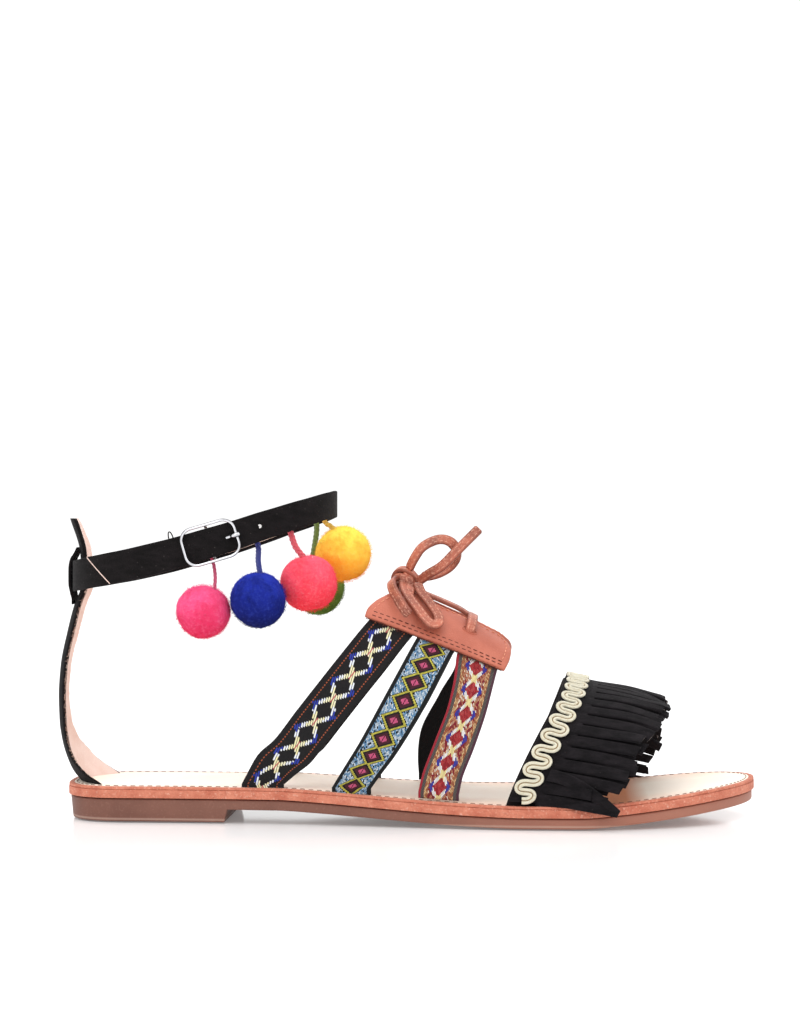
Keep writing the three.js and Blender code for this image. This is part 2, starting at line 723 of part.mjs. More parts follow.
// Knot: a rounded core with two turns of thong wrapped round it
function laceKnot() {
  const core = new THREE.SphereGeometry(knotSize * 0.36, 6, 5);
  const wrap = (radius, tilt, turn) => {
    const rings = [];
    const steps = 10;
    for (let i = 0; i < steps; i++) {
      const angle = (2 * Math.PI * i) / steps;
      const out = at(Math.cos(angle), 0, Math.sin(angle));
      const ring = [[0, -1], [0, 1], [1, 1], [1, -1]].map(([up, along]) => out.clone()
        .multiplyScalar(radius - laceThickness * (1 - up)).add(at(0, (along * laceWidth) / 2, 0)));
      rings.push(ring.map((p) => p.applyEuler(new THREE.Euler(tilt, 0, turn))));
    }
    return loft(rings, true);
  };
  const whole = join(core, wrap(knotSize * 0.46, 0.3, -0.9), wrap(knotSize * 0.5, -0.5, 0.5));
  return whole.translate(...knotMiddle);
}

// Heel strip: a tall leather strip that bulges behind the heel and wraps the seat at its foot
function heelStripBack(height) {
  return -read(heelStripRows, 'bulge', height / heelTabHeight, 'up') * heelBulge;
}

function heelStripPoint(height, share, out) {
  const up = height / heelTabHeight;
  const half = read(heelStripRows, 'half', up, 'up') * heelStripHalf;
  const wrap = read(heelStripRows, 'wrap', up, 'up') * heelWrap;
  const across = 2 * share - 1;
  const slope = (2 * wrap * across) / half;
  const length = Math.hypot(1, slope);
  const x = heelStripBack(height) + wrap * across * across - out / length;
  return at(x, half * across + (out * slope) / length, height);
}

function heelStripRing(height, inner, outer) {
  return bandRing((share, out) => heelStripPoint(height, share, out), 6, inner, outer);
}

function heelStrip() {
  const seatHeight = insoleTop(0);
  const rows = 15;
  const foot = heelStripRing(seatHeight, -heelStripThickness, 0);
  const rings = [stoodOn(foot, insoleBottom), stoodOn(foot, insoleTop)];
  for (let i = 1; i <= rows; i++) {
    const height = THREE.MathUtils.lerp(seatHeight, heelTabHeight, i / rows);
    rings.push(heelStripRing(height, -heelStripThickness, 0));
  }
  return loft(rings);
}

// Ankle strap: plan ring from the heel round the medial side; height follows the station
const ankleMiddle = ankleBack + ankleLength / 2;

function anklePlan(turn) {
  const c = Math.cos(radians(turn));
  const s = Math.sin(radians(turn));
  const power = 2 / ankleSquareness;
  const x = ankleMiddle - (Math.sign(c) * Math.abs(c) ** power * ankleLength) / 2;
  return at(x, (Math.sign(s) * Math.abs(s) ** power * ankleWidth) / 2, 0);
}

// Frame of the strap at a turn: middle of its wall, and its travel, outward and upward ways
function ankleFrame(turn) {
  const p = anklePlan(turn);
  const share = (p.x - ankleBack) / ankleLength;
  const riseAt = (x) => read(ankleRows, 'rise', (x - ankleBack) / ankleLength);
  const heightAt = (x) => ankleBackHeight + ankleRise * riseAt(x);
  p.z = heightAt(p.x);
  const [before, after] = [anklePlan(turn - 0.5), anklePlan(turn + 0.5)];
  before.z = heightAt(before.x);
  after.z = heightAt(after.x);
  const travel = after.sub(before).normalize();
  const outward = at(-travel.y, travel.x, 0).normalize();
  const upward = outward.clone().cross(travel).normalize();
  if (upward.z < 0) upward.negate();
  return { p, travel, outward, upward, wide: read(ankleRows, 'wide', share) * strapWidth };
}

// Turn of the lateral side at a station, on the round that starts at the buckle
function lateralTurn(x) {
  const share = (2 * (ankleMiddle - x)) / ankleLength;
  return -THREE.MathUtils.radToDeg(Math.acos(Math.sign(share) * Math.abs(share) ** (ankleSquareness / 2)));
}

const buckleTurn = lateralTurn(buckleStation);
const layerStep = strapThickness + gap;

function tailLayer(turn) {
  const x = anklePlan(turn).x;
  return turn < 180 ? 0 : read(tailRows, 'layer', x - buckleStation, 'ahead') * layerStep;
}

function ankleRing(turn, out) {
  const { p, outward, upward, wide } = ankleFrame(turn);
  const corner = (side, face) => p.clone()
    .addScaledVector(upward, (side * wide) / 2)
    .addScaledVector(outward, out + (face * strapThickness) / 2);
  return [corner(-1, -1), corner(1, -1), corner(1, 1), corner(-1, 1)];
}

function ankleStrap() {
  const rings = [];
  const chape = lateralTurn(buckleStation + 1.2);
  const [tail, fine] = [360 + lateralTurn(tailEnd), 360 + lateralTurn(buckleStation + 26)];
  const coarseSteps = 56;
  for (let i = 0; i < coarseSteps; i++) {
    const turn = THREE.MathUtils.lerp(chape, fine, i / coarseSteps);
    rings.push(ankleRing(turn, 0));
  }
  const fineSteps = 26;
  for (let i = 0; i <= fineSteps; i++) {
    const turn = THREE.MathUtils.lerp(fine, tail, i / fineSteps);
    rings.push(ankleRing(turn, tailLayer(turn)));
  }
  const strap = loft(rings);
  return cut(strap, [prongHole()]);
}

// A place on the strap at the buckle: ahead of its middle bar, above the strap's middle, out
function onBuckle(ahead, above, out) {
  const { p, outward, upward } = ankleFrame(lateralTurn(buckleStation + ahead));
  return p.addScaledVector(upward, above).addScaledVector(outward, out);
}

const barOut = strapThickness / 2 + gap + buckleWire / 2;
const frameOut = 1.22 * layerStep + strapThickness / 2 + gap + buckleWire / 2;
const buckleInside = () => ankleFrame(buckleTurn).wide + 5 * gap;

function prongHole() {
  const [start, end] = [0.16 * buckleLength / 2, 0.72 * buckleLength / 2];
  const ring = (out) => [[start, -1], [end, -1], [end, 1], [start, 1]]
    .map(([ahead, above]) => onBuckle(ahead, above * (prongWidth / 2 + gap), out));
  return loft([ring((strapThickness + gap) / 2), ring((layerStep + strapThickness) * 2)]);
}

// Wire round a route of buckle places, with a six-sided section
function wire(places, closed) {
  const points = places.map((place) => onBuckle(...place));
  const rings = points.map((p, i) => {
    const before = closed ? points[(i + points.length - 1) % points.length] : points[Math.max(i - 1, 0)];
    const after = closed ? points[(i + 1) % points.length] : points[Math.min(i + 1, points.length - 1)];
    const travel = after.clone().sub(before).normalize();
    const outward = ankleFrame(buckleTurn).outward;
    const side = travel.clone().cross(outward).normalize();
    const up = side.clone().cross(travel).normalize();
    return Array.from({ length: 6 }, (unused, n) => {
      const angle = (Math.PI * 2 * n) / 6;
      return p.clone().addScaledVector(side, (Math.cos(angle) * buckleWire) / 2)
        .addScaledVector(up, (Math.sin(angle) * buckleWire) / 2);
    });
  });
  return loft(rings, closed);
}

function buckleFrame() {
  const halfLong = (buckleLength - buckleWire) / 2;
  const halfWide = (buckleInside() + buckleWire) / 2;
  const places = [];
  for (const [endWise, sideWise] of [[1, 1], [-1, 1], [-1, -1], [1, -1]]) {
    for (let i = 0; i <= 4; i++) {
      const share = endWise === sideWise ? i / 4 : 1 - i / 4;
      const turn = (Math.PI / 2) * share;
      const ahead = endWise * (halfLong - buckleCorner + buckleCorner * Math.cos(turn));
      const above = sideWise * (halfWide - buckleCorner + buckleCorner * Math.sin(turn));
      places.push([ahead, above, frameOut]);
    }
  }
  const bar = [-1, -0.93, -0.8, 0.8, 0.93, 1].map((share) => {
    const out = Math.abs(share) > 0.98 ? frameOut : Math.abs(share) > 0.9 ? (frameOut + barOut) / 2 : barOut;
    return [0, share * halfWide, out];
  });
  return join(wire(places, true), wire(bar, false));
}

function buckleProng() {
  const half = prongWidth / 2;
  const front = buckleLength / 2;
  const over = frameOut + buckleWire / 2 + gap + half;
  const root = buckleWire / 2 + gap + half;
  const route = [
    [root, barOut], [0.36 * front, THREE.MathUtils.lerp(barOut, over, 0.3)],
    [0.58 * front, THREE.MathUtils.lerp(barOut, over, 0.82)], [0.8 * front, over], [front, over],
  ];
  const rings = route.map(([ahead, out]) => [[-1, -1], [1, -1], [1, 1], [-1, 1]]
    .map(([above, face]) => onBuckle(ahead, above * half, out + face * half * 0.8)));
  return loft(rings);
}

// Heel loop: a short strip sewn to the heel strip above and below the ankle strap
function heelLoop() {
  const clear = 1.5 * gap + heelLoopThickness / 2;
  const strapHalf = strapWidth / 2;
  const wallOut = (height) => heelStripBack(height) - clear;
  const proud = ankleBack - strapThickness / 2 - clear - gap / 2;
  const [low, high] = [ankleBackHeight - strapHalf, ankleBackHeight + strapHalf];
  const route = [
    [wallOut(low - 4.4), low - 4.4], [wallOut(low - 2.8) - 0.3, low - 2.8], [proud + 0.1, low - 1],
    [proud, low + 1.5], [proud, ankleBackHeight], [proud, high - 1.5], [proud + 0.1, high + 1],
    [wallOut(high + 2.8) - 0.3, high + 2.8], [wallOut(high + 4.2), high + 4.2],
  ];
  const rings = route.map(([x, z], i) => {
    const before = route[Math.max(i - 1, 0)];
    const after = route[Math.min(i + 1, route.length - 1)];
    const travel = at(after[0] - before[0], 0, after[1] - before[1]).normalize();
    const normal = at(-travel.z, 0, travel.x);
    return bandRing((share, out) => {
      const y = (share - 0.5) * heelLoopWidth;
      const wrap = 0.5 * read(heelStripRows, 'wrap', z / heelTabHeight, 'up') * heelWrap;
      return at(x + wrap * (y / heelStripHalf) ** 2, y, z).addScaledVector(normal, out);
    }, 4, -heelLoopThickness / 2, heelLoopThickness / 2);
  });
  return loft(rings);
}

// Felt ball
const ballMiddle = ({ at: [x, y, z] }) => at(x * ankleLength, y * ankleWidth, z * ankleBackHeight);

function ball(row) {
  const geometry = new THREE.IcosahedronGeometry((ballDiameter * row.size) / 2, 2);
  return geometry.translate(...ballMiddle(row));
}

function tube(points, diameter, steps) {
  const circle = new THREE.Shape();
  circle.absarc(0, 0, diameter / 2, 0, Math.PI * 2);
  const extrudePath = new THREE.CatmullRomCurve3(points, false, 'centripetal');
  return new THREE.ExtrudeGeometry(circle, { steps, curveSegments: 4, extrudePath });
}

// Cord from the strap's inner face down to its ball
function ballCord(row) {
  const turn = row.side * -lateralTurn(row.cord * ankleLength);
  const { p, outward, upward, wide } = ankleFrame(turn);
  const inward = -(strapThickness / 2 + gap + ballCordDiameter / 2);
  const top = p.clone().addScaledVector(upward, -wide / 2 + 3).addScaledVector(outward, inward);
  const leave = top.clone().addScaledVector(upward, -4.5);
  const middle = ballMiddle(row);
  const radius = (ballDiameter * row.size) / 2;
  const reach = leave.clone().sub(middle).normalize();
  const end = middle.clone().addScaledVector(reach, radius + gap / 2);
  const sag = leave.clone().lerp(end, 0.5);
  return tube([top, leave, sag, end], ballCordDiameter, 5);
}

const sandal = new THREE.Group();

function add(name, geometry, [color, roughness, metalness]) {
  const mesh = new THREE.Mesh(geometry, new THREE.MeshStandardMaterial({ color, roughness, metalness }));
  mesh.name = name;
  sandal.add(mesh);
}

// Slots in the insole for the feet of every strap
function insole() {
  const tools = [];
  for (const side of [-1, 1]) {
    for (const rows of Object.values(ribbonRows)) {
      tools.push(slotTool(ribbonFootRing(rows[0], side, -gap, ribbonThickness + gap, gap)));
    }
    const turn = side < 0 ? 0 : 180;
    tools.push(slotTool(toeBandRing(turn, -gap, toeBandThickness + gap, -gap, toeBandWidth + gap)));
  }
  const foot = bandRing((share, out) => heelStripPoint(insoleTop(0), share * 1.04 - 0.02, out), 6,
    -heelStripThickness - gap, gap);
  tools.push(slotTool(foot));
  return cut(soleSheet(insoleInset, insoleBottom, insoleTop), tools);
}

add('outsole', join(soleSheet(outsoleInset, outsoleUnderside, outsoleTop), heelBlock()), [0x8b6458, 0.6, 0]);
add('midsole', soleSheet(0, midsoleBottom, midsoleTop), tanLeather);
add('insole', insole(), [0xf3dcc6, 0.55, 0]);
add('heel_strip', heelStrip(), suedeBlack);
add('heel_loop', heelLoop(), suedeBlack);
add('ankle_strap', ankleStrap(), suedeBlack);
add('buckle_frame', buckleFrame(), [0xc8c8cc, 0.2, 1]);
add('buckle_prong', buckleProng(), [0xc8c8cc, 0.2, 1]);
for (const [side, word] of [[-1, 'lateral'], [1, 'medial']]) {
  for (const place of Object.keys(ribbonRows)) {
    add(`ribbon_${word}_${place}`, ribbon(place, side), wovenBlack);
  }
  add(`pad_${word}`, pad(side), tanLeather);
}
add('lace_bars', laceBars(), tanLeather);
add('lace_knot', laceKnot(), tanLeather);
add('lace_loop_upper', thong(laceLoopUpper, at(-0.35, -0.85, 0.4)), tanLeather);
add('lace_loop_lower', thong(laceLoopLower, at(0.3, -0.75, 0.6)), tanLeather);
add('lace_end_upper', thong(laceEndUpper, at(-0.3, -0.9, 0.3)), tanLeather);
add('lace_end_lower', thong(laceEndLower, at(-0.6, -0.6, 0.5)), tanLeather);
add('toe_band', toeBand(), suedeBlack);
add('fringe', fringe(), suedeBlack);
add('gold_braid', braid(), [0xe6d6a4, 0.4, 0.6]);
for (const row of ballRows) {
  add(`ball_${row.name}`, ball(row), [row.color, 0.95, 0]);
  add(`ball_cord_${row.name}`, ballCord(row), [row.color, 0.9, 0]);
}

// The origin is the middle of the heel's flat spot on the floor
sandal.position.x = -heelSpot;

export default sandal;
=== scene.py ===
import math

import bpy
import numpy as np
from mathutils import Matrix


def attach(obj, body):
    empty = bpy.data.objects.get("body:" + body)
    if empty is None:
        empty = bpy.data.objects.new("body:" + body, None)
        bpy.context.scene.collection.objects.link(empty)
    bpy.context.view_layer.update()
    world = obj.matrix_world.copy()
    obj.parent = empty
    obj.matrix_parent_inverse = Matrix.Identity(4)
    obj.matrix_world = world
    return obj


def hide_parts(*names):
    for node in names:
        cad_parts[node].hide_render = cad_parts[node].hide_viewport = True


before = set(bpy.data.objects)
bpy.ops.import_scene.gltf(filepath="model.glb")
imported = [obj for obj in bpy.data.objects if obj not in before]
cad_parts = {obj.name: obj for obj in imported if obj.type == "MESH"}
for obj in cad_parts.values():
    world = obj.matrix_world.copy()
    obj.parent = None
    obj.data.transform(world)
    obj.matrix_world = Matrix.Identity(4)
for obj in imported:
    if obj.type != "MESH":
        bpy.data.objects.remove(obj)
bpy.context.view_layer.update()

print("frame loaded:", len(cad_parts), "nodes")

# All shapes below are in millimetres: x from the back edge of the heel to the toe, y to the
# inner side of the foot, z up from the floor. toFrame turns them into metres about the heel spot.

sole = {
    "length": 252, "outsoleThickness": 3.6, "heelLift": 4.6, "heelBlockLength": 61, "toeSpring": 6,
    "midsoleThickness": 2.7, "insoleThickness": 1.1, "outsoleInset": 0.8, "insoleInset": 0.4,
    "heelRound": 26, "toeRoundLateral": 72, "toeRoundMedial": 40, "toeTipOffset": 12,
    "heelSquareness": 2.8, "toeSquareness": 2.1, "heelSpot": 30, "air": 0.3,
}
outline = {
    "along": [0.0, 0.12, 0.22, 0.32, 0.42, 0.52, 0.6, 0.68, 0.74, 0.8, 1.0],
    "lateral": [29.2, 29.5, 30.4, 33.0, 36.6, 40.8, 43.8, 45.4, 45.5, 45.0, 44.2],
    "medial": [29.2, 29.5, 28.9, 27.6, 27.6, 31.0, 37.0, 42.0, 44.0, 44.5, 44.1],
}
underside = {
    "along": [0.0, 0.25, 0.315, 0.365, 0.425, 0.485, 0.555, 0.62, 0.655, 0.745, 0.8, 0.88, 0.95, 1.0],
    "lift": [1, 1, 1, 0.88, 0.66, 0.44, 0.2, 0.05, 0, 0, 0, 0, 0, 0],
    "spring": [0, 0, 0, 0, 0, 0, 0, 0, 0, 0, 0.16, 0.5, 0.82, 1],
}
foot = {
    "instepHeight": 77, "strapInset": 3.6, "fullness": 2.2,
    "along": [0.34, 0.38, 0.44, 0.48, 0.52, 0.56, 0.6, 0.64, 0.68, 0.726, 0.76, 0.81, 0.855, 0.87, 1.0],
    "crown": [
        1.28, 1.205, 1.115, 1.06, 1.0, 0.94, 0.875, 0.805, 0.715, 0.632, 0.608, 0.575, 0.52, 0.487, 0.33],
}


def toFrame(points):
    # metres in the model's frame, whose origin is the middle of the heel's ground spot
    return (np.asarray(points, float) - [sole["heelSpot"], 0, 0]) * 0.001


def through(xs, ys):
    # smooth curve through the points that never overshoots, level outside its ends
    xs, ys = np.asarray(xs, float), np.asarray(ys, float)
    step = np.diff(xs)
    slope = np.diff(ys) / step
    product = slope[:-1] * slope[1:]
    total = np.where(slope[:-1] + slope[1:] == 0, 1, slope[:-1] + slope[1:])
    inner = np.where(product > 0, 2 * product / total, 0)
    tangent = np.concatenate([slope[:1], inner, slope[-1:]])

    def value(x):
        x = np.clip(np.asarray(x, float), xs[0], xs[-1])
        i = np.clip(np.searchsorted(xs, x, side="right") - 1, 0, len(xs) - 2)
        t = (x - xs[i]) / step[i]
        rise = t * t * (3 - 2 * t)
        bend = t * (1 - t) ** 2 * step[i] * tangent[i] + t * t * (t - 1) * step[i] * tangent[i + 1]
        return ys[i] * (1 - rise) + ys[i + 1] * rise + bend

    return value


lateralReach = through(outline["along"], outline["lateral"])
medialReach = through(outline["along"], outline["medial"])
liftShare = through(underside["along"], underside["lift"])
springShare = through(underside["along"], underside["spring"])
crownShare = through(foot["along"], foot["crown"])


def outsoleUnderside(x):
    along = np.asarray(x, float) / sole["length"]
    return liftShare(along) * sole["heelLift"] + springShare(along) * sole["toeSpring"]


def outsoleTop(x):
    return outsoleUnderside(x) + sole["outsoleThickness"]


def midsoleBottom(x):
    return outsoleTop(x) + sole["air"]


def midsoleTop(x):
    return midsoleBottom(x) + sole["midsoleThickness"]


def insoleBottom(x):
    return midsoleTop(x) + sole["air"]


def insoleTop(x):
    return insoleBottom(x) + sole["insoleThickness"]


def edge(x, side, inset=0.0):
    # half width of the outline less the inset, drawn in by a rounded arc at the heel and the toe
    x, side, inset = np.broadcast_arrays(*[np.asarray(v, float) for v in (x, side, inset)])
    length, heelRound = sole["length"], sole["heelRound"]
    reach = np.where(side < 0, lateralReach(x / length), medialReach(x / length)) - inset
    toeRound = np.where(side < 0, sole["toeRoundLateral"], sole["toeRoundMedial"])
    power = sole["heelSquareness"]
    back = np.clip((heelRound - x) / (heelRound - inset), 0, 1)
    heel = side * reach * (1 - back ** power) ** (1 / power)
    power = sole["toeSquareness"]
    ahead = np.clip((x - length + toeRound) / (toeRound - inset), 0, 1)
    tip = sole["toeTipOffset"]
    toe = tip + (side * reach - tip) * (1 - ahead ** power) ** (1 / power)
    return np.where(x < heelRound, heel, np.where(x > length - toeRound, toe, side * reach))


def bareForm(x, angle):
    # arch over the insole: a full ellipse from the outer edge at 0 degrees to the inner at 180
    left, right = edge(x, -1, foot["strapInset"]), edge(x, 1, foot["strapInset"])
    crown = crownShare(x / sole["length"]) * foot["instepHeight"]
    turn = np.radians(angle)
    power = 2 / foot["fullness"]
    across = np.sign(np.cos(turn)) * np.abs(np.cos(turn)) ** power
    up = np.abs(np.sin(turn)) ** power
    base = insoleTop(x)
    return np.stack([x, (left + right) / 2 - across * (right - left) / 2, base + up * (crown - base)], -1)


def unit(v):
    return v / np.maximum(np.linalg.norm(v, axis=-1, keepdims=True), 1e-9)


def formPoint(x, angle, out=0.0):
    # point on the arch, moved out along the arch's normal
    x, angle, out = np.broadcast_arrays(*[np.asarray(v, float) for v in (x, angle, out)])
    dip = 0.5
    forward = bareForm(x + dip, angle) - bareForm(x - dip, angle)
    around = bareForm(x, np.minimum(angle + dip, 180)) - bareForm(x, np.maximum(angle - dip, 0))
    return bareForm(x, angle) + unit(np.cross(forward, around)) * out[..., None]


def formAngle(x, height, side):
    # angle at which the arch reaches a height
    base = insoleTop(x)
    crown = crownShare(x / sole["length"]) * foot["instepHeight"]
    share = np.clip((height - base) / (crown - base), 0, 1)
    angle = np.degrees(np.arcsin(share ** (foot["fullness"] / 2)))
    return np.where(side < 0, angle, 180 - angle)


def perDegree(x, angle):
    # millimetres that one degree spans on the arch
    return float(np.linalg.norm(formPoint(x, angle + 1) - formPoint(x, angle)))


bothSides = ((-1, "lateral"), (1, "medial"))


# Camera: the photograph's own view, square on from the outer side and 3 degrees from behind

camera = {"place": (0.1439, -0.9986, 0.1134), "turn": 3.0, "lens": 96.45}


def makeCamera():
    data = bpy.data.cameras.new("camera")
    data.lens = camera["lens"]
    data.sensor_width = 36
    data.clip_start = 0.02
    data.dof.use_dof = False
    shown = bpy.data.objects.new("camera", data)
    bpy.context.scene.collection.objects.link(shown)
    shown.location = camera["place"]
    shown.rotation_euler = (math.radians(90), 0, math.radians(camera["turn"]))
    bpy.context.scene.camera = shown


makeCamera()

# Looks: small helpers for node materials; each adds to the look that was started last


def colour(red, green, blue, alpha=1.0):
    # a screen colour, 0 to 255, as the linear colour that shaders use
    values = [v / 255 for v in (red, green, blue)]
    linear = [v / 12.92 if v <= 0.04045 else ((v + 0.055) / 1.055) ** 2.4 for v in values]
    return (*linear, alpha)


current = {}


def feed(socket, value):
    if isinstance(value, bpy.types.NodeSocket):
        current["tree"].links.new(value, socket)
    else:
        socket.default_value = value


def node(kind, values=None, **settings):
    # a node of the look that was started last
    made = current["tree"].nodes.new("ShaderNode" + kind)
    for key, value in settings.items():
        setattr(made, key, value)
    for key, value in (values or {}).items():
        feed(made.inputs[key], value)
    return made


def calc(operation, a, b=0.0):
    return node("Math", {0: a, 1: b}, operation=operation).outputs[0]


def times(a, b):
    return calc("MULTIPLY", a, b)


def plus(a, b):
    return calc("ADD", a, b)


def minus(a, b):
    return calc("SUBTRACT", a, b)


def absolute(a):
    return calc("ABSOLUTE", a)


def sineOf(value, pitch):
    # one full wave each pitch
    return calc("SINE", times(value, 2 * math.pi / pitch))


def mix(factor, a, b, kind="MIX"):
    # a tuple is a screen colour
    a, b = (colour(*v) if isinstance(v, tuple) else v for v in (a, b))
    return node("Mix", {0: factor, 6: a, 7: b}, data_type="RGBA", blend_type=kind).outputs[2]


def within(value, limit, soft=0.05):
    # 1 where the value is under the limit, 0 above it, with a soft step
    return spread(value, limit - soft, limit + soft, 1.0, 0.0)


def spread(value, low, high, first=0.0, last=1.0):
    # straight step from the first to the last value while the value goes from low to high
    return node("MapRange", {0: value, 1: low, 2: high, 3: first, 4: last}).outputs[0]


def noise(scale, detail=3.0, roughness=0.55, stretch=(1, 1, 1)):
    values = {"Vector": objectSpot(stretch), "Scale": scale, "Detail": detail, "Roughness": roughness}
    return node("TexNoise", values).outputs[0]


def cells(scale):
    return node("TexVoronoi", {"Vector": objectSpot(), "Scale": scale}).outputs["Distance"]


def objectSpot(stretch=(1, 1, 1)):
    spot = node("TexCoord").outputs["Object"]
    return node("Mapping", {"Vector": spot, "Scale": stretch}).outputs[0]


def placeParts():
    # x, y and height in metres
    return node("SeparateXYZ", {0: objectSpot()}).outputs


def surfaceSpot():
    # the piece's own map: millimetres across and along
    parts = node("SeparateXYZ", {0: node("UVMap", uv_map="surface").outputs[0]})
    return parts.outputs[0], parts.outputs[1]


def startLook(name, roughness, specular=0.5, sheen=0.0, sheenRoughness=0.4, sheenTint=(1, 1, 1, 1)):
    look = bpy.data.materials.new(name)
    look.use_nodes = True
    look.node_tree.nodes.clear()
    current.update(look=look, tree=look.node_tree)
    shader = node("BsdfPrincipled", {
        "Roughness": roughness, "Specular IOR Level": specular,
        "Sheen Weight": sheen, "Sheen Roughness": sheenRoughness, "Sheen Tint": sheenTint})
    node("OutputMaterial", {0: shader.outputs[0]})
    current["shader"] = shader.inputs


def finishLook(tone, height=None, depth=0.0):
    # base colour, and a relief whose depth is in metres
    feed(current["shader"]["Base Color"], tone)
    if height is not None:
        bump = node("Bump", {"Height": height, "Distance": depth, "Strength": 1.0})
        feed(current["shader"]["Normal"], bump.outputs[0])
    return current["look"]


def leatherLook(name, base, dark, pale, grain=2500.0, blotch=300.0, depth=0.00005, roughness=0.7, speck=0.0):
    # leather: fine pebbled grain, slow tone changes, darker creases and a few worn pale specks
    startLook(name, roughness, 0.4)
    fine = noise(grain * 1.4, 3.0, 0.65)
    tone = mix(spread(noise(blotch, 4.0, 0.6), 0.35, 0.68), dark, base)
    tone = mix(times(spread(fine, 0.56, 0.74), 0.28 + speck), tone, pale)
    feed(current["shader"]["Roughness"], spread(fine, 0.3, 0.7, roughness - 0.08, roughness + 0.12))
    return finishLook(tone, plus(times(cells(grain), 0.8), times(fine, 0.7)), depth)


def suedeLook(name, base, nap, lint, speckle=0.2, depth=0.0002, sheen=0.04):
    # suede: short matt nap, soft lighter brushing, a little pale lint
    startLook(name, 0.95, 0.15, sheen, sheenRoughness=0.5, sheenTint=(0.8, 0.78, 0.8, 1))
    brushed = noise(160.0, 5.0, 0.7, (1, 1, 2.5))
    fine = noise(2600.0, 2.0, 0.7)
    tone = mix(spread(brushed, 0.38, 0.72), base, nap)
    tone = mix(times(spread(fine, 0.45, 0.8), 0.35), tone, nap)
    tone = mix(times(within(cells(420.0), 0.075, 0.03), speckle), tone, lint)
    return finishLook(tone, plus(fine, times(brushed, 0.6)), depth)


def plainWeave(u, v, pitch):
    # height of a plain weave: warp and weft threads take turns on top
    return times(sineOf(u, pitch), sineOf(v, pitch))


# Mesh makers


def makeMesh(name, points, quads, looks, replaced=(), corners=None, faceLooks=None, sharp=None):
    # one object from points and quads; corners holds each quad corner's place on the surface map
    a, b, c, d = (points[quads[:, k]] for k in range(4))
    volume = np.einsum("ij,ij->i", a, np.cross(b, c)).sum() + np.einsum("ij,ij->i", a, np.cross(c, d)).sum()
    if volume < 0:
        quads = quads[:, ::-1]
        corners = None if corners is None else corners[:, ::-1]
    mesh = bpy.data.meshes.new(name)
    mesh.vertices.add(len(points))
    mesh.vertices.foreach_set("co", toFrame(points).astype(np.float32).ravel())
    mesh.loops.add(quads.size)
    mesh.loops.foreach_set("vertex_index", quads.astype(np.int32).ravel())
    mesh.polygons.add(len(quads))
    mesh.polygons.foreach_set("loop_start", np.arange(0, quads.size, 4, dtype=np.int32))
    mesh.update(calc_edges=True)
    mesh.validate()
    mesh.polygons.foreach_set("use_smooth", np.ones(len(mesh.polygons), bool))
    if corners is not None:
        layer = mesh.uv_layers.new(name="surface")
        layer.data.foreach_set("uv", corners.astype(np.float32).reshape(-1))
    for look in looks:
        mesh.materials.append(look)
    if faceLooks is not None:
        mesh.polygons.foreach_set("material_index", faceLooks.astype(np.int32))
    if sharp:
        mesh.set_sharp_from_angle(angle=math.radians(sharp))
    made = bpy.data.objects.new(name, mesh)
    bpy.context.scene.collection.objects.link(made)
    if replaced:
        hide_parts(*replaced)
    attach(made, "root")
    return made


def gridQuads(rows, columns, closed=False):
    # quads between the neighbours of a row of rings, with the unwrapped place of each corner
    i, j = np.meshgrid(np.arange(rows if closed else rows - 1), np.arange(columns), indexing="ij")
    row = i.reshape(-1, 1) + np.array([0, 0, 1, 1])
    column = j.reshape(-1, 1) + np.array([0, 1, 1, 0])
    return (row % rows) * columns + column % columns, row, column


def ladder(columns, offset=0):
    # quads that close an end ring whose two halves run side by side
    j = np.arange(columns // 2 - 1)
    return np.stack([j, j + 1, columns - 2 - j, columns - 1 - j], 1) + offset


def gapsOf(path):
    return np.linalg.norm(np.diff(path, axis=0), axis=1)


def runAlong(path):
    # length travelled at each point
    return np.concatenate([[0], np.cumsum(gapsOf(path))])


def tubeMesh(name, rings, looks, replaced=(), across=None, along=None, closed=False, backing=False,
             sharp=None):
    # skin over a row of rings; across and along give the surface map in millimetres
    rows, columns = rings.shape[:2]
    quads, row, column = gridQuads(rows, columns, closed)
    if along is None:
        centres = rings.mean(1)
        along = runAlong(centres)
        if closed:
            along = np.append(along, along[-1] + np.linalg.norm(centres[0] - centres[-1]))
    if across is None:
        across = runAlong(np.vstack([rings[0], rings[0][:1]]))
    if len(across) == columns:
        across = np.append(across, across[0])
    corners = [np.stack([across[column], along[row]], -1)]
    faceLooks = [(column[:, 0] < columns // 2 - 1).astype(int)]
    if not closed:
        for cap in (ladder(columns)[:, ::-1], ladder(columns, (rows - 1) * columns)):
            quads = np.vstack([quads, cap])
            corners.append(np.stack([across[cap % columns], along[cap // columns]], -1))
            faceLooks.append(np.zeros(len(cap), int))
    return makeMesh(name, rings.reshape(-1, 3), quads, looks, replaced, np.concatenate(corners),
                    np.concatenate(faceLooks) if backing else None, sharp)


def bandProfile(width, thickness, across, corner, steps):
    # places round a flat band's rounded section: share of the width, and depth about its middle
    turn = np.linspace(math.radians(12), math.pi / 2, steps + 1)
    rounded = corner / width
    inside = rounded + (1 - 2 * rounded) * np.linspace(0, 1, across + 1)[1:-1]
    start, drop = rounded * (1 - np.cos(turn)), -thickness / 2 * np.sin(turn)
    share = np.concatenate([start, inside, 1 - start[::-1]])
    depth = np.concatenate([drop, np.full(across - 1, -thickness / 2), drop[::-1]])
    return np.concatenate([share, share[::-1]]), np.concatenate([depth, -depth[::-1]])


def roundProfile(diameter, sides=12, flat=1.0):
    # circle, or an ellipse where flat is under 1, as sideways and outward places
    turn = (np.arange(sides) + 0.5) * 2 * math.pi / sides - math.pi / 2
    return diameter / 2 * np.cos(turn), diameter / 2 * flat * np.sin(turn)


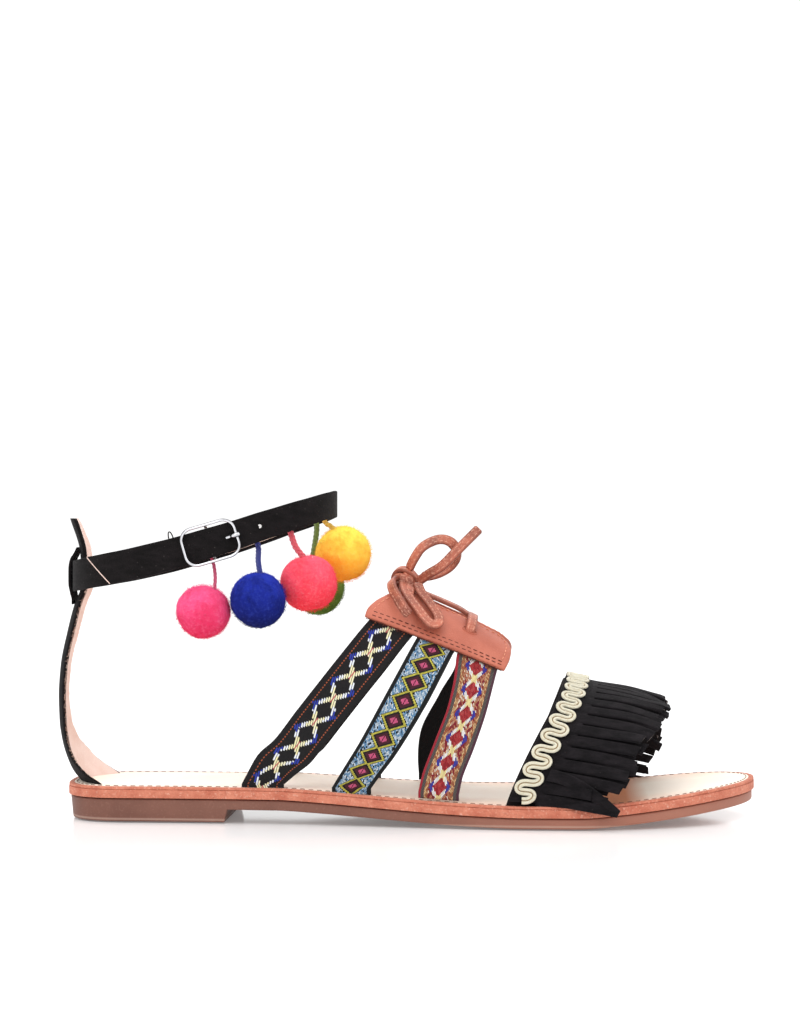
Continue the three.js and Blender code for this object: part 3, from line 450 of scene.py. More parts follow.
def smoothPath(points, count):
    # curve through the points, evenly spaced by its length
    points = np.asarray(points, float)
    knots = np.concatenate([[0], np.cumsum(gapsOf(points) ** 0.5)])
    tangents = np.gradient(points, knots, axis=0)
    t = np.linspace(0, knots[-1], count * 8)
    i = np.clip(np.searchsorted(knots, t, side="right") - 1, 0, len(knots) - 2)
    h = (knots[i + 1] - knots[i])[:, None]
    s = (t - knots[i])[:, None] / h
    fine = points[i] * (1 + 2 * s) * (1 - s) ** 2 + points[i + 1] * s * s * (3 - 2 * s)
    fine += tangents[i] * h * s * (1 - s) ** 2 + tangents[i + 1] * h * s * s * (s - 1)
    return evenly(fine, count)


def evenly(points, count, closed=False):
    # straight runs between the points, cut into equal lengths
    points = np.asarray(points, float)
    if closed:
        points = np.vstack([points, points[:1]])
    run = runAlong(points)
    wanted = np.linspace(0, run[-1], count + 1 if closed else count)
    even = np.stack([np.interp(wanted, run, values) for values in points.T], 1)
    return even[:-1] if closed else even


def travelOf(path, closed=False):
    if closed:
        return unit(np.roll(path, -1, 0) - np.roll(path, 1, 0))
    return unit(np.gradient(path, axis=0))


def tubeRings(path, facing, sideways, outward, closed=False, scale=1.0):
    # profile carried along a path; its outward side keeps to the facing direction
    travel = travelOf(path, closed)
    side = unit(np.cross(travel, np.asarray(facing, float)))
    out = unit(np.cross(side, travel))
    scale = np.broadcast_to(scale, len(path))[:, None, None]
    section = side[:, None] * (sideways[:, None] * scale) + out[:, None] * (outward[:, None] * scale)
    return path[:, None] + section


def cordMesh(name, path, facing, diameter, sides, look, replaced=(), flat=1.0, closed=False, scale=1.0):
    # round or oval section carried along a path
    rings = tubeRings(path, facing, *roundProfile(diameter, sides, flat), closed, scale)
    return tubeMesh(name, rings, [look], replaced, closed=closed)


def steadyFacing(path, start):
    # outward direction carried along a path without twisting
    facing = np.empty_like(path)
    now = np.asarray(start, float)
    for i, way in enumerate(travelOf(path)):
        now = unit(now - way * np.dot(now, way))
        facing[i] = now
    return facing


def endTaper(count, reach=0.12, low=0.35):
    # 1 along the middle, rounding down towards both ends
    t = np.linspace(0, 1, count)
    near = np.clip(np.minimum(t, 1 - t) / reach, 0, 1)
    return low + (1 - low) * np.sqrt(1 - (1 - near) ** 2)


def scatterBits(name, places, ways, facings, length, width, look, seed, bend=0.3):
    # many short bent fibres, each two narrow quads from its root to its tip
    rng = np.random.default_rng(seed)
    count = len(places)
    reach = length * (1 + 0.5 * rng.uniform(-1, 1, (count, 1)))
    side = unit(np.cross(ways, facings)) * width / 2
    drop = unit(facings) * (bend * reach * rng.uniform(-1, 1, (count, 1)))
    middle = places + ways * reach * 0.5 + drop * 0.35
    tip = places + ways * reach * 0.85 + drop
    pairs = ((places, 1.0), (middle, 0.8), (tip, 0.3))
    points = np.stack([at + side * way * narrow for at, narrow in pairs for way in (-1, 1)], 1)
    base = np.arange(count)[:, None] * 6
    quads = np.vstack([base + np.array([0, 1, 3, 2]), base + np.array([2, 3, 5, 4])])
    return makeMesh(name, points.reshape(-1, 3), quads, [look])


def scatterStitches(name, path, normals, pitch, length, thickness, look):
    # stitches: one small capsule repeated along a seam, a quarter of its thickness sunk in
    run = runAlong(path)
    wanted = np.arange(pitch / 2, run[-1], pitch)

    def at(values, where):
        return np.stack([np.interp(where, run, column) for column in values.T], 1)

    ways = unit(at(path, wanted + length / 2) - at(path, wanted - length / 2))
    side = unit(np.cross(ways, unit(at(normals, wanted))))
    up = unit(np.cross(side, ways))
    turn = (np.arange(6) + 0.5) * math.pi / 3
    along = np.array([-0.5, -0.36, 0.36, 0.5])[:, None, None] * length
    thick = np.array([0.45, 1, 1, 0.45])[:, None, None] * thickness / 2
    cross = np.cos(turn)[:, None] * side[:, None, None] + np.sin(turn)[:, None] * up[:, None, None]
    middle = (at(path, wanted) + up * thickness * 0.25)[:, None, None]
    rings = middle + ways[:, None, None] * along + cross * thick
    quads = np.vstack([gridQuads(4, 6)[0], ladder(6), ladder(6, 18)[:, ::-1]])
    every = (np.arange(len(wanted))[:, None, None] * 24 + quads[None]).reshape(-1, 4)
    return makeMesh(name, rings.reshape(-1, 3), every, [look])


print("helpers ready")

# The lace: a flat tan thong tied in a bow

lace = {
    "width": 3.8, "thickness": 1.5, "knot": (123.6, -1.2, 85.6),
    "base": (184, 101, 77), "dark": (122, 60, 43), "pale": (226, 170, 144),
}


def laceLook():
    # worn thong: dark along its edges, pale cracks across its face
    startLook("laceLeather", roughness=0.5, specular=0.45)
    width, dark, pale = lace["width"], lace["dark"], lace["pale"]
    u, v = surfaceSpot()
    fine = noise(1500.0, 4.0, 0.7)
    tone = mix(spread(noise(120.0, 3.0, 0.6), 0.35, 0.65), dark, lace["base"])
    tone = mix(times(spread(fine, 0.5, 0.72), 0.5), tone, pale)
    half = absolute(minus(calc("PINGPONG", u, width), width / 2))
    line = within(absolute(minus(half, width * 0.26)), 0.12)
    tone = mix(times(times(line, spread(sineOf(v, 2.1), -0.3, 0.1)), 0.58), tone, pale)
    return finishLook(mix(times(spread(half, width * 0.36, width * 0.5), 0.75), tone, dark), fine, 0.00015)


laceLeather = laceLook()


def thong(name, path, facing, replaced, width=lace["width"], closed=False):
    # rounded flat section carried along the path, drawn in a little at its two ends
    share, depth = bandProfile(width, lace["thickness"], across=6, corner=0.55, steps=3)
    scale = 1.0 if closed else endTaper(len(path), 0.02, 0.75)
    rings = tubeRings(path, facing, (share - 0.5) * width, depth, closed, scale)
    return tubeMesh(name, rings, [laceLeather], replaced, share * width, closed=closed)


laceRoutes = {
    "lace_loop_upper": [
        [125.1, -3.4, 90.5], [127.0, -5.2, 94.2], [129.8, -6.0, 98.2], [133.2, -6.2, 100.4],
        [136.8, -5.8, 101.4], [140.0, -4.6, 100.6], [142.2, -2.4, 98.0], [142.4, -0.2, 94.6],
        [140.2, 1.0, 91.4], [136.8, 1.4, 89.2], [133.2, 1.0, 88.0], [129.6, 0.4, 87.6]],
    "lace_loop_lower": [
        [123.4, -7.2, 85.3], [123.9, -13.5, 83.6], [125.6, -18.5, 80.9], [128.1, -22.4, 77.9],
        [130.6, -25.2, 74.9], [132.8, -27.2, 72.4], [134.9, -28.0, 71.2], [136.6, -27.0, 71.6],
        [136.8, -24.8, 73.3], [135.3, -21.8, 76.0], [132.8, -18.2, 79.1], [130.0, -13.6, 82.2],
        [128.4, -8.6, 85.2]],
    "lace_end_upper": [
        [126.4, -2.4, 86.2], [128.9, -3.0, 86.4], [132.6, -7.2, 88.8], [137.2, -9.8, 91.6],
        [141.6, -10.8, 95.9], [145.6, -11.0, 100.0], [149.0, -11.0, 103.4], [151.0, -10.8, 105.4]],
    "lace_end_lower": [
        [122.0, -1.4, 86.4], [120.6, -4.0, 86.7], [119.3, -9.6, 86.4], [119.2, -14.4, 85.6],
        [120.0, -19.8, 83.5], [121.7, -23.8, 80.9], [123.8, -27.3, 77.8], [126.2, -30.2, 74.8]],
}
laceFacings = {
    "lace_loop_upper": (-0.35, -0.85, 0.4), "lace_loop_lower": (0.3, -0.75, 0.6),
    "lace_end_upper": (-0.3, -0.9, 0.3), "lace_end_lower": (-0.6, -0.6, 0.5),
}


def makeLaceCords():
    for name, route in laceRoutes.items():
        path = smoothPath(route, 60)
        piece = thong(name.replace("_", "."), path, laceFacings[name], [name])


makeLaceCords()


def makeKnot():
    # knot: crossing turns of thong round the knot's middle
    turn = np.linspace(0, 2 * math.pi, 48, endpoint=False)[:, None]
    wraps = [
        ("knot.over", 4.5, 5.2, (0.25, 1.0, 0.3), (0.9, 0.0, 0.35), 3.9),
        ("knot.cross", 4.9, 4.2, (0.8, 0.4, 0.1), (-0.35, 0.5, 0.8), 3.7),
        ("knot.under", 3.9, 4.4, (0.1, 0.3, 1.0), (1.0, -0.1, 0.0), 3.7),
    ]
    for name, wide, tall, axis, start, width in wraps:
        axis = unit(np.array(axis))
        first = unit(np.array(start) - axis * np.dot(start, axis))
        around = np.cos(turn) * first * wide + np.sin(turn) * np.cross(axis, first) * tall
        path = np.array(lace["knot"]) + around + axis * (0.5 * np.sin(2 * turn))
        thong(name, path, unit(around), ["lace_knot"], width, closed=True)


makeKnot()
print("lace tied")

# The sole


def outsoleLook():
    # moulded brown sole: smooth, faintly mottled, lighter towards the toe, with a thin paler line
    # along the heel's bottom edge
    startLook("mouldedSole", roughness=0.55, specular=0.35)
    x, _, height = placeParts()
    slow = noise(45.0, 4.0, 0.6)
    fine = noise(1300.0, 3.0, 0.6)
    tone = mix(spread(slow, 0.3, 0.7), (105, 67, 55), (125, 83, 69))
    tone = mix(times(spread(x, 0.08, 0.17), 0.7), tone, (168, 110, 90))
    tone = mix(times(spread(fine, 0.55, 0.75), 0.25), tone, (164, 122, 106))
    line = within(absolute(minus(height, 0.0009)), 0.00035, 0.0002)
    tone = mix(times(line, 0.45), tone, (190, 160, 145))
    return finishLook(tone, plus(slow, times(fine, 0.5)), 0.0002)


def insoleLook():
    # pale leather sock, warmer towards its edge, with a painted warm shade on it under the fringe
    startLook("insoleLeather", roughness=0.55, specular=0.3)
    x, y, _ = placeParts()
    fine = noise(1100.0, 4.0, 0.65)
    tone = mix(spread(noise(30.0, 4.0, 0.6), 0.3, 0.75), (248, 232, 214), (254, 243, 230))
    tone = mix(times(spread(fine, 0.5, 0.75), 0.2), tone, (232, 202, 180))
    tone = mix(times(spread(absolute(y), 0.018, 0.045), 0.55), tone, (226, 160, 122))
    # painted shade: orange-brown band on the insole where the fringe hangs over it
    paintedFringeShade = times(spread(x, 0.146, 0.16), within(x, 0.178, 0.004))
    tone = mix(times(paintedFringeShade, 0.95), tone, (206, 128, 86))
    return finishLook(tone, fine, 0.00012)


midsoleLeather = leatherLook(
    "midsoleLeather", (206, 128, 102), (182, 100, 76), (236, 190, 170),
    grain=800.0, blotch=160.0, depth=0.0005, speck=0.3)
padLeather = leatherLook(
    "padLeather", (195, 111, 88), (168, 88, 67), (216, 144, 121),
    grain=1500.0, blotch=40.0, depth=0.00006, roughness=0.5)
liningLeather = leatherLook(
    "liningLeather", (238, 214, 204), (224, 190, 176), (252, 242, 236),
    grain=1200.0, blotch=60.0, depth=0.0001, roughness=0.75, speck=0.2)
threadDark = leatherLook("threadDark", (104, 46, 34), (72, 32, 24), (150, 84, 64))
threadTan = leatherLook("threadTan", (150, 112, 94), (120, 86, 72), (190, 156, 138))
threadPale = leatherLook("threadPale", (232, 158, 128), (206, 126, 98), (250, 208, 184))
frayPale = leatherLook("frayPale", (240, 214, 200), (214, 170, 150), (252, 240, 232), roughness=0.9)


def soleRings(x, lower, upper, inset, rounding, rim=0.0, across=30, taper=0.0, undercut=0.0):
    # rings round a part of the sole, its edges rounded; the lower face is drawn in by the taper and
    # moved by the undercut, and a rim gets columns of its own on the upper face
    turn = np.linspace(0, math.pi / 2, 4)
    shares = np.linspace(0, 1, across)[1:-1]
    columns = []

    def add(side, amount, height, shift=0.0, share=None):
        held = np.clip(x, amount, sole["length"] - amount)
        left, right = edge(held, -1, amount), edge(held, 1, amount)
        y = (left if side < 0 else right) if share is None else left + (right - left) * share
        columns.append(np.stack([held + shift, y, height], 1))

    def lowerCorner(side, turns):
        for t in turns:
            amount = inset + taper + rounding * (1 - math.sin(t))
            add(side, amount, lower + rounding * (1 - math.cos(t)), undercut)

    def upperCorner(side, turns):
        for t in turns:
            add(side, inset + rounding * (1 - math.cos(t)), upper - rounding * (1 - math.sin(t)))

    lowerCorner(-1, turn[::-1])
    for share in shares:
        add(0, inset + taper + rounding, lower, undercut, share)
    lowerCorner(1, turn)
    upperCorner(1, turn)
    if rim:
        add(1, inset + rim, upper)
    for share in shares[::-1]:
        add(0, inset + max(rounding, rim), upper, 0.0, share)
    if rim:
        add(-1, inset + rim, upper)
    upperCorner(-1, turn[::-1])
    return np.stack(columns, 1)


def makeOutsole():
    # sheet and heel block in one: the heel block's rings start at the floor, the others at the sheet
    inset, breast, apart = sole["outsoleInset"], sole["heelBlockLength"], 0.02
    back = inset + (1 - np.cos(np.linspace(0, math.pi / 2, 60))) * (breast - inset)
    ahead = np.sin(np.linspace(0, math.pi / 2, 120)) * (sole["length"] - inset - breast - apart)
    x = np.concatenate([back, breast + apart + ahead])
    onHeel = np.arange(len(x)) < len(back)
    bottom = np.where(onHeel, 0.0, outsoleUnderside(x))
    taper = np.where(onHeel, 0.7, 0.0)
    undercut = np.where(onHeel & (x > breast - 0.05), -1.2, 0.0)
    rings = soleRings(x, bottom, outsoleTop(x), inset, rounding=0.6, across=16, taper=taper,
                      undercut=undercut)
    tubeMesh("sole.moulded", rings, [outsoleLook()], ["outsole"], sharp=40)


def soleStations(inset, count):
    return inset + (1 - np.cos(np.linspace(0, math.pi, count))) / 2 * (sole["length"] - 2 * inset)


def sheetRings(inset, bottom, top, rounding, rim=0.0):
    # rings of a thin sheet of the sole between two heights
    x = soleStations(inset, count=170)
    return soleRings(x, bottom(x), top(x), inset, rounding, rim)


def insoleStitches():
    # dark stitches just inside the salmon rim, all round
    inset = sole["insoleInset"] + 2.5
    x = soleStations(inset, count=400)
    lateral, medial = (np.stack([x, edge(x, side, inset), insoleTop(x)], 1) for side in (-1, 1))
    path = np.vstack([lateral, medial[::-1][1:-1]])
    normals = np.tile([0.0, 0.0, 1.0], (len(path), 1))
    scatterStitches("insole.stitches", path, normals, pitch=3.1, length=1.8, thickness=0.36,
                    look=threadTan)


def makeSole():
    makeOutsole()
    board = sheetRings(0.0, midsoleBottom, insoleBottom, rounding=0.25)
    tubeMesh("midsole.board", board, [midsoleLeather], ["midsole"], sharp=50)
    rings = sheetRings(0.1, insoleBottom, insoleTop, rounding=0.45, rim=1.9)
    looks = [insoleLook(), midsoleLeather]
    sock = tubeMesh("insole.sock", rings, looks, ["insole"], sharp=50)
    # the rim's look covers both edges; soleRings gives each corner 4 columns and each face 28
    corner, face = 4, 28
    column = np.arange(len(sock.data.polygons)) % rings.shape[1]
    medial = (column >= corner + face) & (column < 3 * corner + face)
    rim = medial | (column >= 3 * corner + 2 * face + 1) | (column < corner)
    sock.data.polygons.foreach_set("material_index", rim.astype(np.int32))
    insoleStitches()


makeSole()
print("sole made")

# The heel strip and its loop

blackSuede = suedeLook("blackSuede", (10, 8, 8), (26, 22, 23), (120, 112, 108))

heelStrip = {
    "tabHeight": 109, "thickness": 1.7, "halfWidth": 12, "wrapDepth": 12, "bulgeDepth": 5,
    "up": [0.112, 0.15, 0.2, 0.25, 0.31, 0.4, 0.5, 0.62, 0.72, 0.76, 0.82, 0.88, 1.0],
    "bulge": [-0.75, -0.15, 0.32, 0.7, 0.94, 1.02, 0.88, 0.35, -0.24, -0.6, -0.65, -0.6, 0.18],
    "half": [1.85, 1.78, 1.5, 1.02, 0.7, 0.54, 0.56, 0.66, 0.66, 0.66, 0.66, 0.66, 0.62],
    "wrap": [0.92, 0.6, 0.34, 0.24, 0.2, 0.18, 0.18, 0.2, 0.2, 0.2, 0.2, 0.18, 0.16],
    "turn": [0, 0.05, 0.15, 0.3, 0.4, 0.45, 0.45, 0.4, 0.25, 0.2, 0.2, 0.3, 0.9],
}
stripBulge = through(heelStrip["up"], heelStrip["bulge"])
stripHalf = through(heelStrip["up"], heelStrip["half"])
stripWrap = through(heelStrip["up"], heelStrip["wrap"])
stripTurn = through(heelStrip["up"], heelStrip["turn"])


def heelStripPoint(height, share, out):
    # the strip's back line, wrapped forward by the square of the way across, its outer edge turned
    # a little forward, moved out
    up = height / heelStrip["tabHeight"]
    half = stripHalf(up) * heelStrip["halfWidth"]
    wrap = stripWrap(up) * heelStrip["wrapDepth"]
    across = 2 * share - 1
    slope = 2 * wrap * across / half
    long = np.sqrt(1 + slope ** 2)
    x = -stripBulge(up) * heelStrip["bulgeDepth"] + wrap * across ** 2 - stripTurn(up) * across - out / long
    return np.stack([x, half * across + out * slope / long, height + 0 * x], -1)


def stripLayer(name, look, inner, outer, grow, wobble, replaced=()):
    # one layer of the strip, rows stacked from the seat to the tab, its edge slightly uneven
    height = np.linspace(float(insoleBottom(0.0)), heelStrip["tabHeight"], 90)[:, None]
    share, depth = bandProfile(24, outer - inner, across=16, corner=0.5, steps=3)
    uneven = wobble * (np.sin(height * 0.9) + 0.7 * np.sin(height * 2.3 + 1)) / 24
    pinch = 0.9 + 0.1 * np.sqrt(np.clip((heelStrip["tabHeight"] - height) / 2.5, 0, 1))
    across = 0.5 + (share - 0.5) * (1 + grow + uneven) * pinch
    rings = heelStripPoint(height + 0 * across, across, (inner + outer) / 2 + depth)
    tubeMesh(name, rings, [look], replaced, across=share * 24)


def makeHeelStrip():
    # suede over a thinner lining, and pale fibres along both cut edges
    thickness = heelStrip["thickness"]
    stripLayer("heel.suede", blackSuede, -0.8 * thickness, 0.0, 0.0, 0.12, ["heel_strip"])
    stripLayer("heel.lining", liningLeather, -thickness, -0.8 * thickness, -0.03, 0.25)
    rng = np.random.default_rng(4)
    count = 1500
    height = rng.uniform(15, 90, count)
    right = rng.choice([0.0, 1.0], count) > 0
    out = rng.uniform(-1.25, -0.75, count) * thickness / 2 - 0.1
    places = heelStripPoint(height, np.where(right, 1.012, -0.012), out)
    beyond = heelStripPoint(height, np.where(right, 1.06, -0.06), -0.3)
    ways = unit(beyond - places + rng.normal(0, 0.45, (count, 3)))
    facings = unit(rng.normal(0, 1, (count, 3)))
    scatterBits("heel.fray", places, ways, facings, length=0.9, width=0.11, look=frayPale,
                seed=5)


def makeHeelLoop():
    # a keeper sewn outside the strip: up its wall, out over the ankle strap and back
    thick, width, count = 1.1, 11, 50
    back = ankle["backHeight"]
    low, high = back - ankle["width"] / 2, back + ankle["width"] / 2
    clear = ankle["air"] + thick / 2
    proud = ankle["back"] - ankle["thickness"] / 2 - clear - 0.15

    def wall(z):
        return float(-stripBulge(z / heelStrip["tabHeight"]) * heelStrip["bulgeDepth"]) - clear

    def half(z, way):
        # sewn end, slope away from the wall, rounded corner and flat part
        z = z + way * np.array([4.8, 2.4, 0.1, -2])
        x = (wall(z[0]), 0.6 * wall(z[1]) + 0.4 * proud, proud + 0.45, proud)
        return [(ahead, 0, up) for ahead, up in zip(x, z)]

    path = smoothPath([*half(low, -1), (proud - 0.1, 0, back), *half(high, 1)[::-1]], count)
    travel = travelOf(path)
    normal = np.stack([-travel[:, 2], 0 * travel[:, 0], travel[:, 0]], 1)
    share, depth = bandProfile(width, thick, across=12, corner=0.5, steps=3)
    y = (share - 0.5) * width
    curl = 0.5 * stripWrap(path[:, 2] / heelStrip["tabHeight"]) * heelStrip["wrapDepth"]
    curl = curl[:, None] * (y / heelStrip["halfWidth"]) ** 2
    # its two sewn ends thin out against the strip
    full = np.clip(np.minimum(np.arange(count), np.arange(count)[::-1]) / 9, 0, 1)[:, None]
    path = path + np.array([0.5, 0, 0]) * (1 - full)
    rings = path[:, None] + normal[:, None] * (depth * (0.35 + 0.65 * full))[:, :, None]
    rings = rings + np.stack([curl, y + 0 * curl, 0 * curl], -1)
    tubeMesh("heel.loop", rings, [blackSuede], ["heel_loop"], across=share * width)


# The ankle strap

ankle = {
    "width": 11.4, "thickness": 1.6, "length": 96, "side": 65, "back": 1.5, "backHeight": 87.8,
    "rise": 26.5, "squareness": 2.3, "tailEnd": 19.2, "tailSlant": 7.8, "air": 0.3,
    "holes": [72.6, 64.7], "looseThread": 43.0,
    "along": [0.0, 0.25, 0.55, 0.8, 1.0],
    "riseShare": [0.0, 0.17, 0.465, 0.76, 1.0],
    "wideShare": [1.0, 1.0, 0.94, 0.88, 0.85],
    "ahead": [-12, -9.5, -4.5, 0, 4.5, 10, 18, 26],
    "layer": [1, 1, 1.5, 1.95, 1.5, 0.85, 0.25, 0],
}
ankleRise = through(ankle["along"], ankle["riseShare"])
ankleWide = through(ankle["along"], ankle["wideShare"])
tailLayers = through(ankle["ahead"], ankle["layer"])
buckle = {"station": 55.4, "length": 19.4, "wire": 1.2, "shown": 1.05, "corner": 4, "prong": 1.4}


def anklePlan(turn):
    # squarish ellipse from the heel round the inner side and back along the outer side
    c, s = np.cos(np.radians(turn)), np.sin(np.radians(turn))
    power = 2 / ankle["squareness"]
    x = ankle["back"] + ankle["length"] / 2 - np.sign(c) * np.abs(c) ** power * ankle["length"] / 2
    y = np.sign(s) * np.abs(s) ** power * ankle["side"] / 2
    share = (x - ankle["back"]) / ankle["length"]
    return np.stack([x, y, ankle["backHeight"] + ankle["rise"] * ankleRise(share)], -1)


def ankleFrame(turn):
    p = anklePlan(turn)
    travel = unit(anklePlan(turn + 0.5) - anklePlan(turn - 0.5))
    outward = unit(np.stack([-travel[..., 1], travel[..., 0], 0 * travel[..., 0]], -1))
    upward = unit(np.cross(outward, travel))
    upward = np.where(upward[..., 2:] < 0, -upward, upward)
    wide = ankleWide((p[..., 0] - ankle["back"]) / ankle["length"]) * ankle["width"]
    return p, travel, outward, upward, wide


def lateralTurn(x):
    share = 2 * (ankle["back"] + ankle["length"] / 2 - np.asarray(x, float)) / ankle["length"]
    return -np.degrees(np.arccos(np.sign(share) * np.abs(share) ** (ankle["squareness"] / 2)))


layerStep = ankle["thickness"] + ankle["air"]


def strapLayer(name, looks, inner, outer, narrower, replaced=()):
    # one layer of the strap from the buckle's bar round to the slanting tail; the last look is the
    # tail's cut
    start = lateralTurn(buckle["station"] + 1.2)
    tail = 360 + lateralTurn(ankle["tailEnd"])
    t = np.linspace(0, 1, 420)[:, None]
    share, depth = bandProfile(ankle["width"], outer - inner, across=10, corner=0.45, steps=3)
    slant = 360 + lateralTurn(ankle["tailEnd"] - ankle["tailSlant"]) - tail
    turns = start + (tail - start) * t + np.clip((t - 0.96) / 0.04, 0, 1) ** 2 * slant * share
    p, _, outward, upward, wide = ankleFrame(turns)
    lift = np.where(turns < 180, 0, tailLayers(p[..., 0] - buckle["station"]) * layerStep)
    wave = 0.18 * np.sin(turns * 0.11) + 0.1 * np.sin(turns * 0.31 + 1)
    place = p + upward * ((share - 0.5) * (wide - narrower) + 0.3 * wave)[..., None]
    rings = place + outward * (lift + (inner + outer) / 2 + depth)[..., None]
    made = tubeMesh(name, rings, looks, replaced, across=share * ankle["width"])
    markEnd(made, len(share) // 2 - 1, len(looks) - 1)


def markEnd(made, count, look):
    # the mesh's last quads, which close its end, get a look of their own
    looks = np.zeros(len(made.data.polygons), np.int32)
    looks[-count:] = look
    made.data.polygons.foreach_set("material_index", looks)


def makeAnkleStrap():
    half = ankle["thickness"] / 2
    strapLayer("strap.suede", [blackSuede, liningLeather], -0.2 * half, half, 0.0, ["ankle_strap"])
    strapLayer("strap.lining", [liningLeather], -half, -0.2 * half, 2.4)
    tailEdge()
    for station in ankle["holes"]:
        strapHole(station)
    strapThread(ankle["looseThread"])


def tailEdge():
    # pale line of the tail's slanting cut
    share = np.linspace(0.03, 0.97, 30)
    p, _, outward, upward, wide = ankleFrame(lateralTurn(ankle["tailEnd"] - ankle["tailSlant"] * share))
    path = p + upward * ((share - 0.5) * wide)[:, None] + outward * (layerStep + ankle["thickness"] / 2 - 0.1)
    cordMesh("strap.cut", path, outward, 0.42, 8, liningLeather)


def onStrap(station, above, out):
    # a place on the tail's layers, with the strap's directions there
    p, travel, outward, upward, _ = ankleFrame(lateralTurn(station))
    lift = float(tailLayers(station - buckle["station"])) * layerStep
    return p + upward * above + outward * (lift + out), travel, outward, upward


def strapHole(station):
    # a punched hole: a small pale disc that shows the light behind, with a dark rim
    place, travel, outward, upward = onStrap(station, 0.3, ankle["thickness"] / 2 + 0.02)
    turn = np.linspace(0, 2 * math.pi, 16, endpoint=False)[:, None]
    circle = np.cos(turn) * travel + np.sin(turn) * upward
    steps = ((1.05, -0.3), (1.05, 0.05), (0.8, 0.12), (0.72, 0.02), (0.3, 0.0), (0.05, 0.0))
    rings = np.stack([place + circle * radius + outward * out for radius, out in steps])
    quads, row, _ = gridQuads(len(steps), len(turn))
    pale = (row[:, 0] >= 3).astype(int)
    makeMesh(f"strap.hole.{int(station)}", rings.reshape(-1, 3), quads, [blackSuede, holeLight],
             faceLooks=pale)


def strapThread(station):
    # a loose end that stands up from the strap's top edge
    place, travel, outward, upward = onStrap(station, 5.2, 0.3)
    rise = np.linspace(0, math.pi, 20)[:, None]
    path = place + np.cos(rise) * travel * 0.8 + np.sin(rise) * upward * 2.6
    cordMesh("strap.thread", path, outward, 0.45, 8, blackSuede)


def holeLook():
    startLook("holeLight", roughness=0.9, specular=0.0)
    return finishLook(mix(noise(900.0), (196, 192, 190), (232, 230, 228)))


holeLight = holeLook()


def metalLook():
    # polished buckle wire with faint drawing marks, and a painted dark reflection along both flanks
    startLook("buckleMetal", roughness=0.18)
    current["shader"]["Metallic"].default_value = 1.0
    marks = noise(700.0, 4.0, 0.7)
    darkReflection = absolute(calc("SINE", times(surfaceSpot()[0], 2 / buckle["shown"])))
    tone = mix(marks, (188, 188, 192), (236, 236, 240))
    # painted reflection: the wire's flanks darkened as if they mirrored something dark
    tone = mix(spread(darkReflection, 0.5, 0.95), tone, (78, 76, 80))
    feed(current["shader"]["Roughness"], spread(marks, 0.3, 0.7, 0.1, 0.26))
    return finishLook(tone, marks, 0.00003)


def makeBuckle():
    # rounded rectangle of wire over the strap, a middle bar under the tail, and a prong
    metal = metalLook()
    wire, corner, shown = buckle["wire"], buckle["corner"], buckle["shown"]
    barOut = ankle["thickness"] / 2 + ankle["air"] + wire / 2
    frameOut = 1.22 * layerStep + barOut
    _, _, outward, _, wide = ankleFrame(lateralTurn(buckle["station"]))
    halfLong = (buckle["length"] - wire) / 2
    halfWide = (wide + 5 * ankle["air"] + wire) / 2
    turn = np.linspace(0, math.pi / 2, 9)
    corners = [(1, 1, turn), (-1, 1, turn[::-1]), (-1, -1, turn), (1, -1, turn[::-1])]
    flatLong, flatWide = halfLong - corner, halfWide - corner
    places = [(sx * (flatLong + corner * math.cos(t)), sy * (flatWide + corner * math.sin(t)))
              for sx, sy, turns in corners for t in turns]

    def onBuckle(ahead, above, out):
        p, _, outward, upward, _ = ankleFrame(lateralTurn(buckle["station"] + ahead))
        return p + upward * np.asarray(above)[..., None] + outward * np.asarray(out)[..., None]

    ahead, above = evenly(places, 180, closed=True).T
    path = onBuckle(ahead, above, frameOut)
    cordMesh("buckle.frame", path, outward, shown, 14, metal, ["buckle_frame"], closed=True)
    share = np.linspace(-1, 1, 40)
    out = np.interp(np.abs(share), [0, 0.86, 1], [barOut, barOut, frameOut])
    path = onBuckle(0 * share, share * halfWide, out)
    cordMesh("buckle.bar", path, outward, shown, 12, metal, ["buckle_frame"])
    front = buckle["length"] / 2
    root = wire / 2 + 0.3 + buckle["prong"] / 2
    over = frameOut + root
    route = [(root, barOut), (0.45 * front, barOut + 0.1 * (over - barOut)),
             (0.72 * front, barOut + 0.6 * (over - barOut)), (0.86 * front, over), (front + 0.3, over)]
    path = smoothPath([onBuckle(a, 0.0, o) for a, o in route], 40)
    scale = np.linspace(1, 0.85, 40) * endTaper(40, 0.04, 0.7)
    cordMesh("buckle.prong", path, outward, buckle["prong"] * 1.25, 12, metal,
             ["buckle_prong"], 0.7, scale=scale)


makeHeelStrip()
makeHeelLoop()
makeAnkleStrap()
makeBuckle()
print("heel strip, ankle strap and buckle made")

# The six woven ribbons

